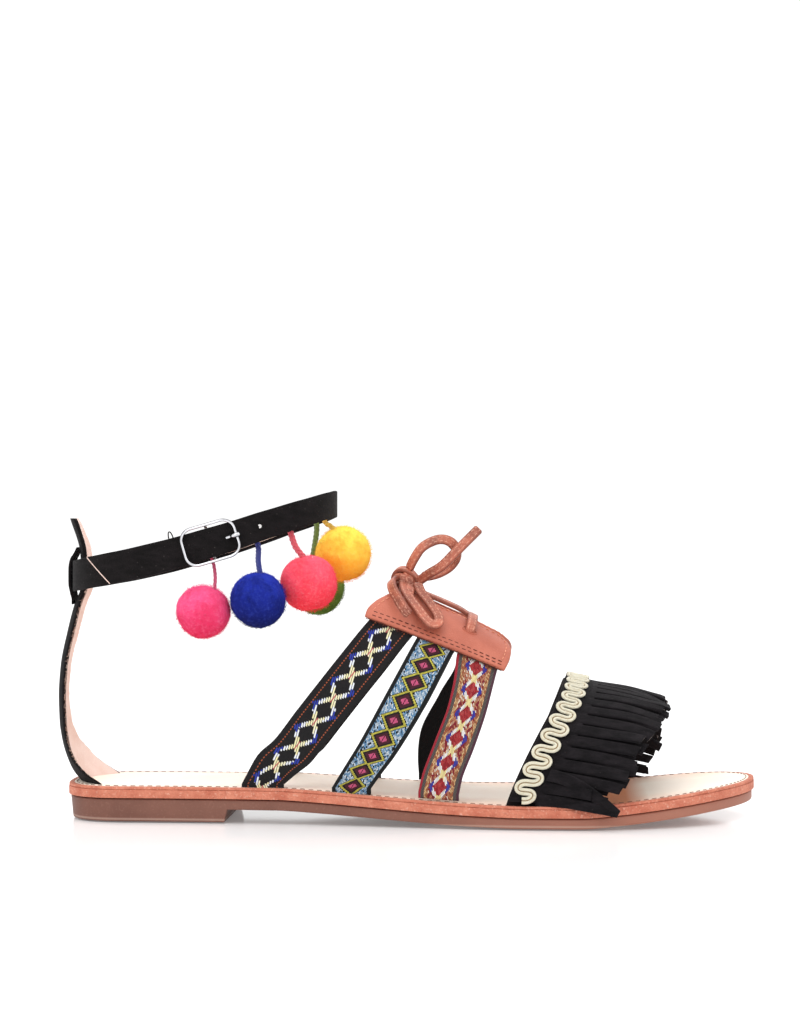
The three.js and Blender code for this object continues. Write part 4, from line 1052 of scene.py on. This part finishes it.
ribbonRows = {
    "rear": {
        "rear": [0.2627, 0.287, 0.309, 0.342, 0.3746, 0.407, 0.4385, 0.458],
        "rearUp": [0.18, 0.32, 0.385, 0.525, 0.661, 0.795, 0.922, 0.99],
        "front": [0.3238, 0.343, 0.36, 0.392, 0.4242, 0.457, 0.4873, 0.507],
        "frontUp": [0.18, 0.232, 0.275, 0.405, 0.539, 0.672, 0.8, 0.875]},
    "middle": {
        "rear": [0.3929, 0.4115, 0.4306, 0.4667, 0.487, 0.5067, 0.519],
        "rearUp": [0.17, 0.27, 0.371, 0.587, 0.71, 0.83, 0.9],
        "front": [0.4492, 0.4635, 0.481, 0.5198, 0.541, 0.5607, 0.573],
        "frontUp": [0.17, 0.235, 0.31, 0.513, 0.645, 0.769, 0.835]},
    "front": {
        "rear": [0.5163, 0.522, 0.5397, 0.5575, 0.5655, 0.5683, 0.5758],
        "rearUp": [0.16, 0.24, 0.395, 0.552, 0.68, 0.779, 0.84],
        "front": [0.5738, 0.5785, 0.5952, 0.6119, 0.6202, 0.6262, 0.631],
        "frontUp": [0.15, 0.222, 0.364, 0.526, 0.635, 0.714, 0.765],
        "medialBack": [0.011, 0.018, 0.029, 0.021, 0.006, 0, 0]},
}
ribbon = {
    "width": 15.2, "thickness": 1.2, "lean": 0.4,
    "rearPitch": 10.6, "middlePitch": 7.8, "frontPitch": 9.0,
}


def zigzag(v, pitch, reach):
    # 0 at each crossing, rising straight to the reach half way to the next
    return times(calc("PINGPONG", calc("DIVIDE", v, pitch), 0.5), 2 * reach)


def dashes(u, v, wide, long):
    # floating threads that lean across the ribbon: how far each thread's column is from the middle,
    # its sides, its covered part, and a value of its own; neighbours start half a thread apart
    lean = times(v, ribbon["lean"])
    column = calc("FLOOR", calc("DIVIDE", plus(u, lean), wide))
    middle = minus(times(plus(column, 0.5), wide), lean)
    shifted = plus(v, times(column, long / 2))
    row = calc("FLOOR", calc("DIVIDE", shifted, long))
    sides = spread(calc("PINGPONG", plus(u, lean), wide / 2), 0.03 * wide, 0.2 * wide)
    ends = spread(calc("PINGPONG", shifted, long / 2), 0.0, 0.1 * long)
    cell = node("CombineXYZ", {0: column, 1: row}).outputs[0]
    own = node("TexWhiteNoise", {"Vector": cell}, noise_dimensions="3D").outputs[0]
    return absolute(middle), sides, times(sides, ends), own


def startRibbonLook(name, threadWide, threadLong):
    startLook(name, roughness=0.75, specular=0.25, sheen=0.05)
    u, v = surfaceSpot()
    u = minus(u, ribbon["width"] / 2)
    return u, v, absolute(u), *dashes(u, v, threadWide, threadLong)


def finishRibbonLook(u, v, tone, line, other):
    # pattern threads stand above the ribbed ground
    ribs = plainWeave(u, v, 0.72)
    shade = plus(times(ribs, 0.1), 0.9)
    tone = mix(1.0, tone, node("CombineColor", {0: shade, 1: shade, 2: shade}).outputs[0], "MULTIPLY")
    return finishLook(tone, plus(calc("MAXIMUM", line, other), times(ribs, 0.3)), 0.00025)


def rearRibbonLook():
    # black ground, crosses of cream and white threads with blue outer corners, red thread at the
    # crossings, rust side lines
    u, v, away, far, sides, _, own = startRibbonLook("rearRibbon", 0.8, 1.6)
    wave = zigzag(v, ribbon["rearPitch"], 4.1)
    line = times(within(absolute(minus(far, wave)), 0.95, 0.06), sides)
    threads = mix(own, (240, 232, 176), (244, 240, 210))
    threads = mix(spread(far, 1.9, 2.0), threads, (236, 240, 246))
    threads = mix(spread(far, 3.1, 3.2), threads, (42, 58, 158))
    tone = mix(line, mix(noise(500.0), (8, 7, 8), (26, 24, 26)), threads)
    heart = times(within(away, 0.22, 0.08), within(wave, 1.3, 0.2))
    tone = mix(times(heart, 0.9), tone, (196, 84, 90))
    dashed = times(within(absolute(minus(away, 5.2)), 0.2, 0.08), spread(sineOf(v, 1.1), -0.4, 0.1))
    tone = mix(times(dashed, 0.85), tone, (176, 88, 52))
    return finishRibbonLook(u, v, tone, line, times(dashed, 0.4))


def middleRibbonLook():
    # dark diamonds with pink hearts between yellow zigzags, light blue scales outside, black rims
    u, v, away, far, sides, covered, own = startRibbonLook("middleRibbon", 0.46, 0.8)
    gapFrom = minus(far, zigzag(v, ribbon["middlePitch"], 4.3))
    black = (20, 18, 20)
    scales = mix(spread(own, 0.35, 0.85), (104, 156, 200), (226, 238, 246))
    scales = mix(times(covered, spread(own, 0.1, 0.16)), black, scales)
    tone = mix(within(gapFrom, 1.3), scales, black)
    line = times(within(absolute(minus(gapFrom, 0.4)), 0.52), sides)
    tone = mix(line, tone, mix(own, (232, 220, 92), (190, 182, 70)))
    tone = mix(times(times(within(gapFrom, -1.1), covered), 0.7), tone, (96, 28, 48))
    heart = within(gapFrom, -2.6)
    tone = mix(times(heart, sides), tone, (226, 96, 140))
    tone = mix(times(heart, within(away, 0.16)), tone, (60, 16, 34))
    tone = mix(spread(away, 5.9, 6.1), tone, (14, 18, 20))
    return finishRibbonLook(u, v, tone, line, times(covered, 0.6))


def frontRibbonLook():
    # red diamonds in a white cross lattice with blue corners, gold and grey stripes, red and purple
    # rims
    u, v, away, far, sides, covered, own = startRibbonLook("frontRibbon", 0.5, 1.0)
    gapFrom = minus(far, zigzag(v, ribbon["frontPitch"], 3.5))
    dark = (74, 22, 32)
    ground = mix(spread(own, 0.35, 0.45), (140, 34, 46), (196, 128, 96))
    ground = mix(spread(own, 0.78, 0.82), ground, (236, 214, 190))
    tone = mix(covered, dark, ground)
    red = mix(own, (150, 26, 36), (196, 48, 56))
    tone = mix(times(within(gapFrom, -0.5), covered), tone, red)
    line = times(times(within(absolute(gapFrom), 0.8), within(far, 3.9)), sides)
    white = mix(within(far, 1.0), (246, 244, 240), (250, 232, 164))
    white = mix(spread(far, 2.4, 2.5), white, (42, 56, 162))
    tone = mix(line, tone, white)
    gold = mix(covered, dark, mix(spread(own, 0.35, 0.6), (168, 96, 62), (220, 176, 124)))
    grey = mix(covered, (40, 38, 40), (96, 88, 84))
    rimTone = mix(spread(u, -1.0, 1.0), (164, 34, 50), (84, 48, 62))
    for start, stripe in ((4.0, gold), (5.4, grey), (6.6, rimTone)):
        tone = mix(spread(away, start, start + 0.1), tone, stripe)
    return finishRibbonLook(u, v, tone, line, times(covered, 0.6))


def backingLook():
    startLook("ribbonBacking", roughness=0.85, specular=0.15, sheen=0.15)
    weave = plainWeave(*surfaceSpot(), 0.7)
    return finishLook(mix(spread(weave, -1.0, 1.0), (8, 7, 8), (24, 22, 24)), weave, 0.0001)


ribbonBacking = backingLook()


def makeRibbon(side, word, place, look):
    # rows run from the slot in the insole up to the pad, straight down below the insole's top
    count = 110
    last = len(ribbonRows[place]["rear"]) - 1
    t = np.concatenate([np.zeros(4), np.linspace(0, last, count)])
    rows = {key: through(range(last + 1), values)(t)[:, None] for key, values in ribbonRows[place].items()}
    back = rows["medialBack"] * sole["length"] if side > 0 and "medialBack" in rows else 0.0
    rear, front = (rows[key] * sole["length"] - back for key in ("rear", "front"))
    rearUp, frontUp = (rows[key] * foot["instepHeight"] for key in ("rearUp", "frontUp"))
    share, depth = bandProfile(ribbon["width"], ribbon["thickness"], across=14, corner=0.5, steps=3)
    x = rear + (front - rear) * share
    height = rearUp + (frontUp - rearUp) * share
    angle = formAngle(x, np.maximum(height, insoleTop(x)), side)
    rings = formPoint(x, angle, ribbon["thickness"] / 2 + depth)
    rings[..., 2] -= np.concatenate([np.linspace(2.2, 0.3, 4), np.zeros(count)])[:, None]
    run = runAlong(rings[:, :len(share) // 2].mean(1))
    if place == "middle":
        up = run / run[-1]
        run = run[-1] * (1.13 * up + 0.02 * np.sin(2 * math.pi * up))
    width = share * ribbon["width"]
    if side > 0:
        width = ribbon["width"] - width
    tubeMesh(f"ribbon.{word}.{place}", rings, [look, ribbonBacking],
             [f"ribbon_{word}_{place}"], width, run, backing=True)


def makeRibbons():
    looks = {"rear": rearRibbonLook(), "middle": middleRibbonLook(), "front": frontRibbonLook()}
    for side, word in bothSides:
        for place, look in looks.items():
            makeRibbon(side, word, place, look)


makeRibbons()
print("ribbons woven")

# The leather pads

pads = {
    "inner": 1.5, "thickness": 2.0, "bottomAngle": 53.5, "topAngle": 82,
    "up": [0.0, 0.12, 0.3, 0.5, 0.7, 0.85, 1.0],
    "rear": [0.4365, 0.439, 0.4475, 0.4595, 0.4745, 0.488, 0.51],
    "front": [0.6335, 0.6365, 0.6395, 0.6405, 0.638, 0.631, 0.615],
    "holeStations": [0.492, 0.5815], "holeAngle": 68.8,
}
padRear, padFront = through(pads["up"], pads["rear"]), through(pads["up"], pads["front"])


def padPoint(up, share, side, out):
    # a place on a pad: share of the way up it and from its rear to its front edge
    angle = pads["bottomAngle"] + (pads["topAngle"] - pads["bottomAngle"]) * up
    rear, front = padRear(up) * sole["length"], padFront(up) * sole["length"]
    return formPoint(rear + (front - rear) * share, angle if side < 0 else 180 - angle, out)


def makePad(side, word):
    # rows from the bottom seam to the top edge; the rims are rounded
    up = (1 - np.cos(np.linspace(0, math.pi, 70)))[:, None] / 2
    thickness = pads["thickness"]
    middle = pads["inner"] + thickness / 2
    surface = middle + thickness / 2
    share, depth = bandProfile(50, thickness, across=40, corner=0.7, steps=4)
    thin = np.sqrt(1 - (1 - np.clip(np.minimum(up, 1 - up) / 0.035, 0, 1)) ** 2) * 0.8 + 0.2
    soft = 0.12 * np.sin(up * 9) * np.sin(share * 11 + 1)
    rings = padPoint(up, share, side, middle + depth * thin + soft)
    tubeMesh(f"pad.{word}", rings, [padLeather], [f"pad_{word}"], across=share * 50)

    def sew(part, u, s, pitch, long, thick, look):
        path = padPoint(u, s, side, surface)
        normals = unit(padPoint(u, s, side, surface + 1) - path)
        scatterStitches(f"pad.{word}.{part}", path, normals, pitch, long, thick, look)

    # two dark seams along the bottom and a pale one round the other three edges
    for number, (level, pitch) in enumerate(((0.05, 2.3), (0.12, 2.4))):
        s = np.linspace(0.04, 0.96, 200)
        sew(f"seam.{number}", level, s, pitch, long=1.5, thick=0.32, look=threadDark)
    s = np.concatenate([np.full(80, 0.045), np.linspace(0.06, 0.94, 160), np.full(80, 0.955)])
    u = np.concatenate([np.linspace(0.12, 0.86, 80), np.full(160, 0.9), np.linspace(0.86, 0.12, 80)])
    sew("rim", u, s, 2.3, long=1.4, thick=0.36, look=threadPale)
    # dark fibres along the bottom edge, and the edge itself
    rng = np.random.default_rng(12 if side < 0 else 13)
    count = 260
    s = rng.uniform(0.01, 0.99, count)
    places = padPoint(0.003, s, side, pads["inner"] + rng.uniform(0, 1.2, count))
    down = padPoint(0.0, s, side, surface) - padPoint(0.06, s, side, surface)
    ways = unit(down + rng.normal(0, 0.8, (count, 3)))
    facings = unit(rng.normal(0, 1, (count, 3)))
    scatterBits(f"pad.{word}.fray", places, ways, facings, length=1.3, width=0.13, look=threadDark,
                seed=14)
    s = np.linspace(0.02, 0.98, 120)
    path = padPoint(0.004, s, side, pads["inner"] + 0.35)
    facing = unit(padPoint(0.004, s, side, surface) - path)
    cordMesh(f"pad.{word}.edge", path, facing, 0.5, 8, threadDark)
    angle = pads["holeAngle"] if side < 0 else 180 - pads["holeAngle"]
    turn = np.linspace(0, 2 * math.pi, 24, endpoint=False)
    for hole, station in enumerate(pads["holeStations"]):
        x = station * sole["length"]
        around = angle + 1.5 * np.sin(turn) / perDegree(x, angle)
        path = formPoint(x + 2.5 * np.cos(turn), around, surface - 0.05)
        facing = unit(formPoint(x, angle, 2.0) - formPoint(x, angle, 1.0))
        cordMesh(f"pad.{word}.hole.{hole}", path, facing, 0.4, 8, padLeather, closed=True)


def formThong(name, points):
    # a lace strand laid over the arch: (station, angle, height above the arch)
    t = np.linspace(0, len(points) - 1, 60)
    x, angle, out = (through(range(len(points)), values)(t) for values in zip(*points))
    path = formPoint(x, angle, out)
    thong(name, path, unit(formPoint(x, angle, out + 1) - path), ["lace_bars"])


def makePads():
    for side, word in bothSides:
        makePad(side, word)
    top = pads["inner"] + pads["thickness"] + 0.3 + lace["thickness"] / 2
    back, bar = (station * sole["length"] for station in pads["holeStations"])
    hole = pads["holeAngle"]
    half = [(hole - 0.8, -2.6), (hole + 0.6, -0.4), (hole + 4, 0.2), (78, 0.2)]
    whole = [*half, (90, -0.3), *((180 - angle, out) for angle, out in half[::-1])]
    formThong("lace.bar", [(bar, angle, top + out) for angle, out in whole])
    for side, word in bothSides:
        angle = 90 + 3.5 * side
        formThong(f"lace.strand.{word}", [
            (back + 2, angle, top - 0.5), (back + 10, angle, top - 0.1), (bar - 6, angle, top),
            (bar + 0.5, angle, top - 0.9)])
    for side, word in bothSides:
        places = ((90 - hole + 0.8, -2.6), (90 - hole - 0.8, -0.2), (12, 0.1), (3, 0.0))
        formThong(f"lace.rear.{word}", [(back, 90 + side * away, top + out) for away, out in places])


makePads()
print("pads laced")

# Toe band, fringe and gold braid

toeBand = {"width": 11, "thickness": 1.4, "footLateral": 161.2, "footMedial": 168, "crown": 181.2}
fringe = {
    "thickness": 1.2, "strip": 4.0, "space": 0.5, "droop": 5, "splay": 4, "low": 1.2,
    "angle": [0, 10, 20, 32, 45, 65, 90, 130, 160, 180],
    "end": [0.797, 0.8, 0.815, 0.826, 0.848, 0.862, 0.868, 0.868, 0.862, 0.85],
}
braid = {"width": 8.8, "pitch": 6.5, "margin": 0.6, "cord": 1.2}
fringeEnd = through(fringe["angle"], fringe["end"])


def toeBandRear(angle):
    # the band's rear edge: forward from its feet to the crown
    foot = np.where(np.asarray(angle) < 90, toeBand["footLateral"], toeBand["footMedial"])
    return foot + (toeBand["crown"] - foot) * (1 - (1 - np.clip(np.sin(np.radians(angle)), 0, 1)) ** 1.18)


def makeToeBand():
    # rings over the arch from slot to slot, their feet straight down
    angle = np.linspace(0, 180, 160)[:, None]
    share, depth = bandProfile(toeBand["width"], toeBand["thickness"], across=10, corner=0.5, steps=3)
    rings = formPoint(toeBandRear(angle) + share * toeBand["width"], angle, toeBand["thickness"] / 2 + depth)
    rings = rings[np.clip(np.arange(-3, 163), 0, 159)]
    rings[:3, :, 2] -= np.array([2.4, 1.6, 0.8])[:, None]
    rings[-3:, :, 2] -= np.array([0.8, 1.6, 2.4])[:, None]
    tubeMesh("toe.band", rings, [blackSuede], ["toe_band"], across=share * toeBand["width"])


fringeSuede = suedeLook("fringeSuede", (10, 8, 10), (31, 27, 30), (104, 96, 96), speckle=0.13, depth=0.00025)
cutEdge = suedeLook("fringeCut", (60, 52, 52), (112, 100, 96), (160, 150, 144), sheen=0.1)


def fringePoint(share, angle, start, out):
    # a place on a strip: share of the way from its root to the fringe's end; it splays and droops
    begin = toeBandRear(angle) + start
    level = np.cos(np.radians(angle))
    p = formPoint(begin + (fringeEnd(angle) * sole["length"] - begin) * share, angle, out)
    p[..., 1] -= fringe["splay"] * share * level
    p[..., 2] -= fringe["droop"] * share ** 2 * level ** 2
    return p


def fringeStrip(name, angle, start, out, long, seed, fall=0.0, turnOver=0.0):
    # one cut strip: it follows the arch, then curls, twists and ends in a slanting cut
    rng = np.random.default_rng(seed)
    width = fringe["strip"]
    t = np.linspace(0, 1, 26)[:, None]
    share, depth = bandProfile(width, fringe["thickness"], across=6, corner=0.35, steps=2)
    curl, twist, slant = rng.uniform(-0.6, 2.2), rng.uniform(-0.16, 0.16), rng.uniform(-1.6, 1.6)
    wander = rng.uniform(-1.6, 1.6) * min(1, angle / 45, (180 - angle) / 45)
    place = t * long + slant * 0.02 * (share - 0.5) * t ** 2
    sideways = (share - 0.5) * width * (1 - 0.08 * t) + (wander - fall) * t ** 2
    turn = np.clip(angle + sideways / perDegree(toeBandRear(angle) + 11, angle), 0.2, 179.8)
    lift = out + depth + curl * t ** 3 + (twist + turnOver) * (share - 0.5) * width * 2 * t ** 2
    rings = fringePoint(place, turn, start, lift + 0.25 * np.sin(t * 7 + seed) * t)
    made = tubeMesh(name, rings, [fringeSuede, cutEdge], ["fringe"], across=share * width)
    markEnd(made, len(share) // 2 - 1, 1)


def stripAngles(low, high):
    # the strips' places round the arch, a strip and a space apart
    angles, angle = [], low
    while angle <= high:
        angles.append(angle)
        x = float(toeBandRear(angle)) + toeBand["width"]
        angle += (fringe["strip"] + fringe["space"]) / perDegree(x, angle)
    return angles


def makeFringe():
    # a root band under the braid, an upper row of strips with one fallen, and a row under them
    middle = toeBand["thickness"] + 0.3 + fringe["thickness"] / 2
    angle = np.linspace(fringe["low"], 180 - fringe["low"], 160)[:, None]
    width = toeBand["width"] + 1.1
    share, depth = bandProfile(width, fringe["thickness"], across=10, corner=0.5, steps=3)
    rings = formPoint(toeBandRear(angle) + braid["margin"] + share * width, angle, middle + depth)
    tubeMesh("fringe.root", rings, [fringeSuede], ["fringe"], across=share * 12)
    first = fringe["low"] + 0.9
    rng = np.random.default_rng(21)
    angles = stripAngles(first, 180 - first)
    start = toeBand["width"] - 1
    for i, angle in enumerate(angles):
        long = 0.6 if i == 1 else 1 - rng.uniform(0, 0.09)
        fringeStrip(f"fringe.upper.{i}", angle, start, middle, long, 40 + i)
    fringeStrip("fringe.fallen", angles[2], start, middle + 1.1, 0.94, seed=33, fall=8.5, turnOver=0.4)
    under = middle - fringe["thickness"] - 0.15
    for i, angle in enumerate(stripAngles(first + 3.4, 176.6 - first)):
        long = 0.82 if i in (0, 1) else 1.03 - rng.uniform(0, 0.1)
        fringeStrip(f"fringe.under.{i}", angle, start + 0.5, under, long, 90 + i)


def braidLook(name, low, high, groove):
    # pale gold cord, its threads twisted across it
    startLook(name, roughness=0.38, specular=0.6, sheen=0.1)
    u, v = surfaceSpot()
    twist = sineOf(plus(v, times(u, 0.8)), 0.55)
    tone = mix(spread(twist, -0.9, 0.6), low, high)
    tone = mix(times(spread(noise(600.0), 0.5, 0.7), 0.5), tone, groove)
    return finishLook(tone, twist, 0.00016)


def makeBraid():
    # a serpentine of two cords side by side, swinging from edge to edge of its width, over a dark core that
    # is painted shade in the groove between them
    inner = toeBand["thickness"] + 0.6 + fringe["thickness"]

    def middleAt(angle):
        return toeBandRear(angle) + braid["margin"] + braid["width"] / 2

    angle = np.arange(0.4, 179.6, 0.2)
    run = runAlong(formPoint(middleAt(angle), angle, inner))
    waves = round((run[-1] - braid["pitch"]) / braid["pitch"])
    turns = np.arange(waves * 28 + 1) / 28
    phase = 2 * math.pi * turns
    place = (turns + 0.25) * run[-1] / (waves + 0.5) - 0.085 * braid["pitch"] * np.sin(2 * phase)
    turn = np.interp(place, run, angle)
    x = middleAt(turn) + (braid["width"] - 2.7) / 2 * np.sin(phase)
    path = formPoint(x, turn, inner + 0.55)
    normal = unit(formPoint(x, turn, inner + 1.55) - path)
    side = unit(np.cross(travelOf(path), normal))
    gold = braidLook("goldBraid", (244, 232, 192), (255, 253, 238), (238, 222, 180))
    # the core's look: dark gold-brown, the painted shade of the groove
    groove = braidLook("goldGrooveShade", (120, 84, 44), (190, 146, 84), (90, 64, 36))
    for k, word in ((-1, "near"), (1, "far")):
        cordMesh(f"braid.{word}", path + side * k * 0.7, normal, braid["cord"], 10, gold,
                 ["gold_braid"], 0.95)
    # painted shade: a dark flat core under the cords stands in for the shadow in their groove
    cordMesh("braid.grooveShade", path - normal * 0.15, normal, 2.5, 8, groove, ["gold_braid"], 0.25)


makeToeBand()
makeFringe()
makeBraid()
print("toe band, fringe and braid made")

# The felt balls and their cords

# each ball's top colour is its painted lit tone, its low colour its painted shade, its fibre colour its paler
# fibres
balls = {
    "diameter": 20, "cord": 2.4,
    "pink": {
        "at": (0.553, -0.523, 0.864), "size": 0.975, "cord": 0.564, "side": -1, "thick": 0.58,
        "sway": 0.5, "enter": (0.46, 0.86),
        "top": (252, 96, 150), "low": (218, 38, 80), "fibre": (250, 132, 172)},
    "blue": {
        "at": (0.758, -0.538, 0.911), "size": 1.0, "cord": 0.735, "side": -1, "thick": 0.9,
        "sway": -0.4, "enter": (0.1, 0.95),
        "top": (38, 54, 172), "low": (12, 18, 76), "fibre": (58, 76, 178)},
    "coral": {
        "at": (0.936, -0.362, 0.976), "size": 1.02, "cord": 0.865, "side": -1, "thick": 1.0,
        "sway": -0.9, "enter": (-0.14, 0.95),
        "top": (255, 98, 122), "low": (240, 52, 66), "fibre": (253, 138, 146)},
    "green": {
        "at": (0.939, 0.215, 0.944), "size": 1.0, "cord": 0.9375, "side": 1, "thick": 1.0,
        "sway": 0.4, "enter": (-0.3, 0.9),
        "top": (122, 148, 62), "low": (78, 104, 36), "fibre": (152, 176, 88)},
    "yellow": {
        "at": (1.054, -0.092, 1.093), "size": 1.03, "cord": 1.0062, "side": -1, "thick": 0.9,
        "sway": 0.2, "enter": (-0.3, 0.9),
        "top": (254, 236, 96), "low": (255, 156, 40), "fibre": (252, 216, 110)},
}
ballNames = ["pink", "blue", "coral", "green", "yellow"]


def ballMiddle(row):
    x, y, z = row["at"]
    return np.array([x * ankle["length"], y * ankle["side"], z * ankle["backHeight"]])


def feltLook(name, row, middle, radius):
    # felt: matted fibres, painted light on the top fading to painted shade at the bottom, soft fuzz
    startLook(name, 0.95, 0.08, sheen=0.12, sheenRoughness=0.6, sheenTint=colour(*row["fibre"]))
    # painted light and shade: top colour at the ball's top, low colour at its bottom
    z, reach = middle[2] * 0.001, radius * 0.0009
    tone = mix(spread(placeParts()[2], z - reach, z + reach), row["low"], row["top"])
    fibres = noise(900.0, 5.0, 0.75)
    clumps = noise(180.0, 4.0, 0.65)
    tone = mix(times(spread(fibres, 0.5, 0.72), 0.55), tone, row["fibre"])
    tone = mix(times(spread(clumps, 0.56, 0.36), 0.5), tone, row["low"])
    return finishLook(tone, plus(fibres, clumps), 0.0006)


def makeBall(name):
    # a sphere with a few slow lumps and small ripples; fibres stand out of it all over
    row = balls[name]
    middle, radius = ballMiddle(row), balls["diameter"] * row["size"] / 2
    look = feltLook(f"felt.{name}", row, middle, radius)
    number = ballNames.index(name)
    rng = np.random.default_rng(number + 60)
    lat = np.linspace(0.02, math.pi - 0.02, 64)[:, None]
    lon = np.linspace(0, 2 * math.pi, 96, endpoint=False)
    way = np.stack([np.sin(lat) * np.cos(lon), np.sin(lat) * np.sin(lon), np.cos(lat) + 0 * lon], -1)
    lumps = 0
    for count, least, most, slow, fast in ((9, 0.004, 0.012, 2, 5.5), (12, 0.0016, 0.0016, 12, 26)):
        for _ in range(count):
            axis = unit(rng.normal(0, 1, 3))
            high = least if least == most else rng.uniform(least, most)
            lumps = lumps + high * np.sin(rng.uniform(slow, fast) * way @ axis + rng.uniform(0, 6.28))
    rings = middle + way * (radius * (0.985 + lumps))[..., None]
    tubeMesh(f"ball.{name}", rings, [look], [f"ball_{name}"])
    count = 5200
    ways = unit(rng.normal(0, 1, (count, 3)))
    places = middle + ways * radius * 0.985
    lean = unit(ways + rng.normal(0, 0.75, (count, 3)))
    facings = unit(rng.normal(0, 1, (count, 3)))
    scatterBits(f"fuzz.{name}", places, lean, facings, length=0.85, width=0.075, look=look,
                seed=number + 80, bend=0.6)


def ballCordPath(row):
    # from inside the strap straight down past its edge, then with a slight sway into the ball
    turn = lateralTurn(row["cord"] * ankle["length"]) * -row["side"]
    p, travel, outward, upward, wide = ankleFrame(turn)
    inward = -(ankle["thickness"] / 2 + ankle["air"] + balls["cord"] / 2)
    top = p + upward * (3 - wide / 2) + outward * inward
    leave = top - upward * 4.5
    ahead, up = row["enter"]
    way = unit(np.array([ahead, 0.15 * row["side"], up]))
    end = ballMiddle(row) + way * (balls["diameter"] * row["size"] / 2 - 1.0)
    bend = travel * row["sway"] * -row["side"]
    return smoothPath([top, leave, (leave + end) / 2 - bend, end], 70), outward


def cordLook(name, row):
    # twisted yarn, its strands striped between the ball's low and top colours, its painted shade and light
    startLook(name, roughness=0.8, specular=0.2, sheen=0.3)
    u, v = surfaceSpot()
    fibres = noise(1500.0, 3.0, 0.7)
    twist = sineOf(plus(v, times(u, 1.2)), 0.5)
    tone = mix(spread(twist, -1.0, 1.0), row["low"], row["top"])
    return finishLook(mix(times(fibres, 0.4), tone, row["fibre"]), plus(twist, fibres), 0.00018)


def makeBallCord(name):
    # three strands wound round the cord's line
    row = balls[name]
    path, outward = ballCordPath(row)
    look = cordLook(f"cord.look.{name}", row)
    facing = steadyFacing(path, outward)
    side = unit(np.cross(travelOf(path), facing))
    turns = np.linspace(0, 1, len(path)) * gapsOf(path).sum() / 5.0
    strand = balls["cord"] * 0.5 * row["thick"]
    for k in range(3):
        turn = 2 * math.pi * (k / 3 + turns)[:, None]
        wound = path + (np.cos(turn) * side + 0.75 * np.sin(turn) * facing) * strand * 0.5
        cordMesh(f"cord.{name}.{k}", wound, facing, strand, 8, look, [f"ball_cord_{name}"],
                 scale=endTaper(len(path), 0.04, 0.6))


for name in ballNames:
    makeBall(name)
    makeBallCord(name)
print("balls hung")

# Floor and light


def floorLook():
    startLook("paleFloor", roughness=0.12, specular=0.14)
    shader = current["shader"]
    shader["Base Color"].default_value = (0.93, 0.93, 0.93, 1)
    shader["Emission Color"].default_value = (1, 1, 1, 1)
    shader["Emission Strength"].default_value = 0.14
    return current["look"]


def makeStage():
    mesh = bpy.data.meshes.new("floor")
    half, under = 6.0, -0.0005
    corners = [(-half, -half, under), (half, -half, under), (half, half, under), (-half, half, under)]
    mesh.from_pydata(corners, [], [(0, 1, 2, 3)])
    mesh.materials.append(floorLook())
    floor = bpy.data.objects.new("floor", mesh)
    bpy.context.scene.collection.objects.link(floor)
    world = bpy.data.worlds.new("studio")
    bpy.context.scene.world = world
    world.use_nodes = True
    background = world.node_tree.nodes["Background"].inputs
    background[0].default_value = (1, 1, 1, 1)
    background[1].default_value = 1.08
    # name, place, size in metres and power of each lamp
    lamps = [
        ("key", (-0.5, -1.1, 1.3), 1.0, 8.0), ("fill", (1.2, -0.9, 0.9), 1.2, 4.0),
        ("top", (0.1, 0.1, 1.5), 1.4, 6.0), ("back", (0.0, 1.4, 0.8), 1.4, 2.5),
    ]
    for name, place, size, power in lamps:
        data = bpy.data.lights.new(name, "AREA")
        data.size, data.energy = size, power
        lamp = bpy.data.objects.new(name, data)
        bpy.context.scene.collection.objects.link(lamp)
        lamp.location = place
        way = np.array([0.1, 0, 0.05]) - np.array(place)
        yaw, tilt = math.atan2(way[1], way[0]), math.acos(way[2] / np.linalg.norm(way))
        lamp.rotation_euler = (0, math.pi - tilt, yaw + math.pi)
    bpy.context.scene.view_settings.view_transform = "Standard"


makeStage()

print("done")
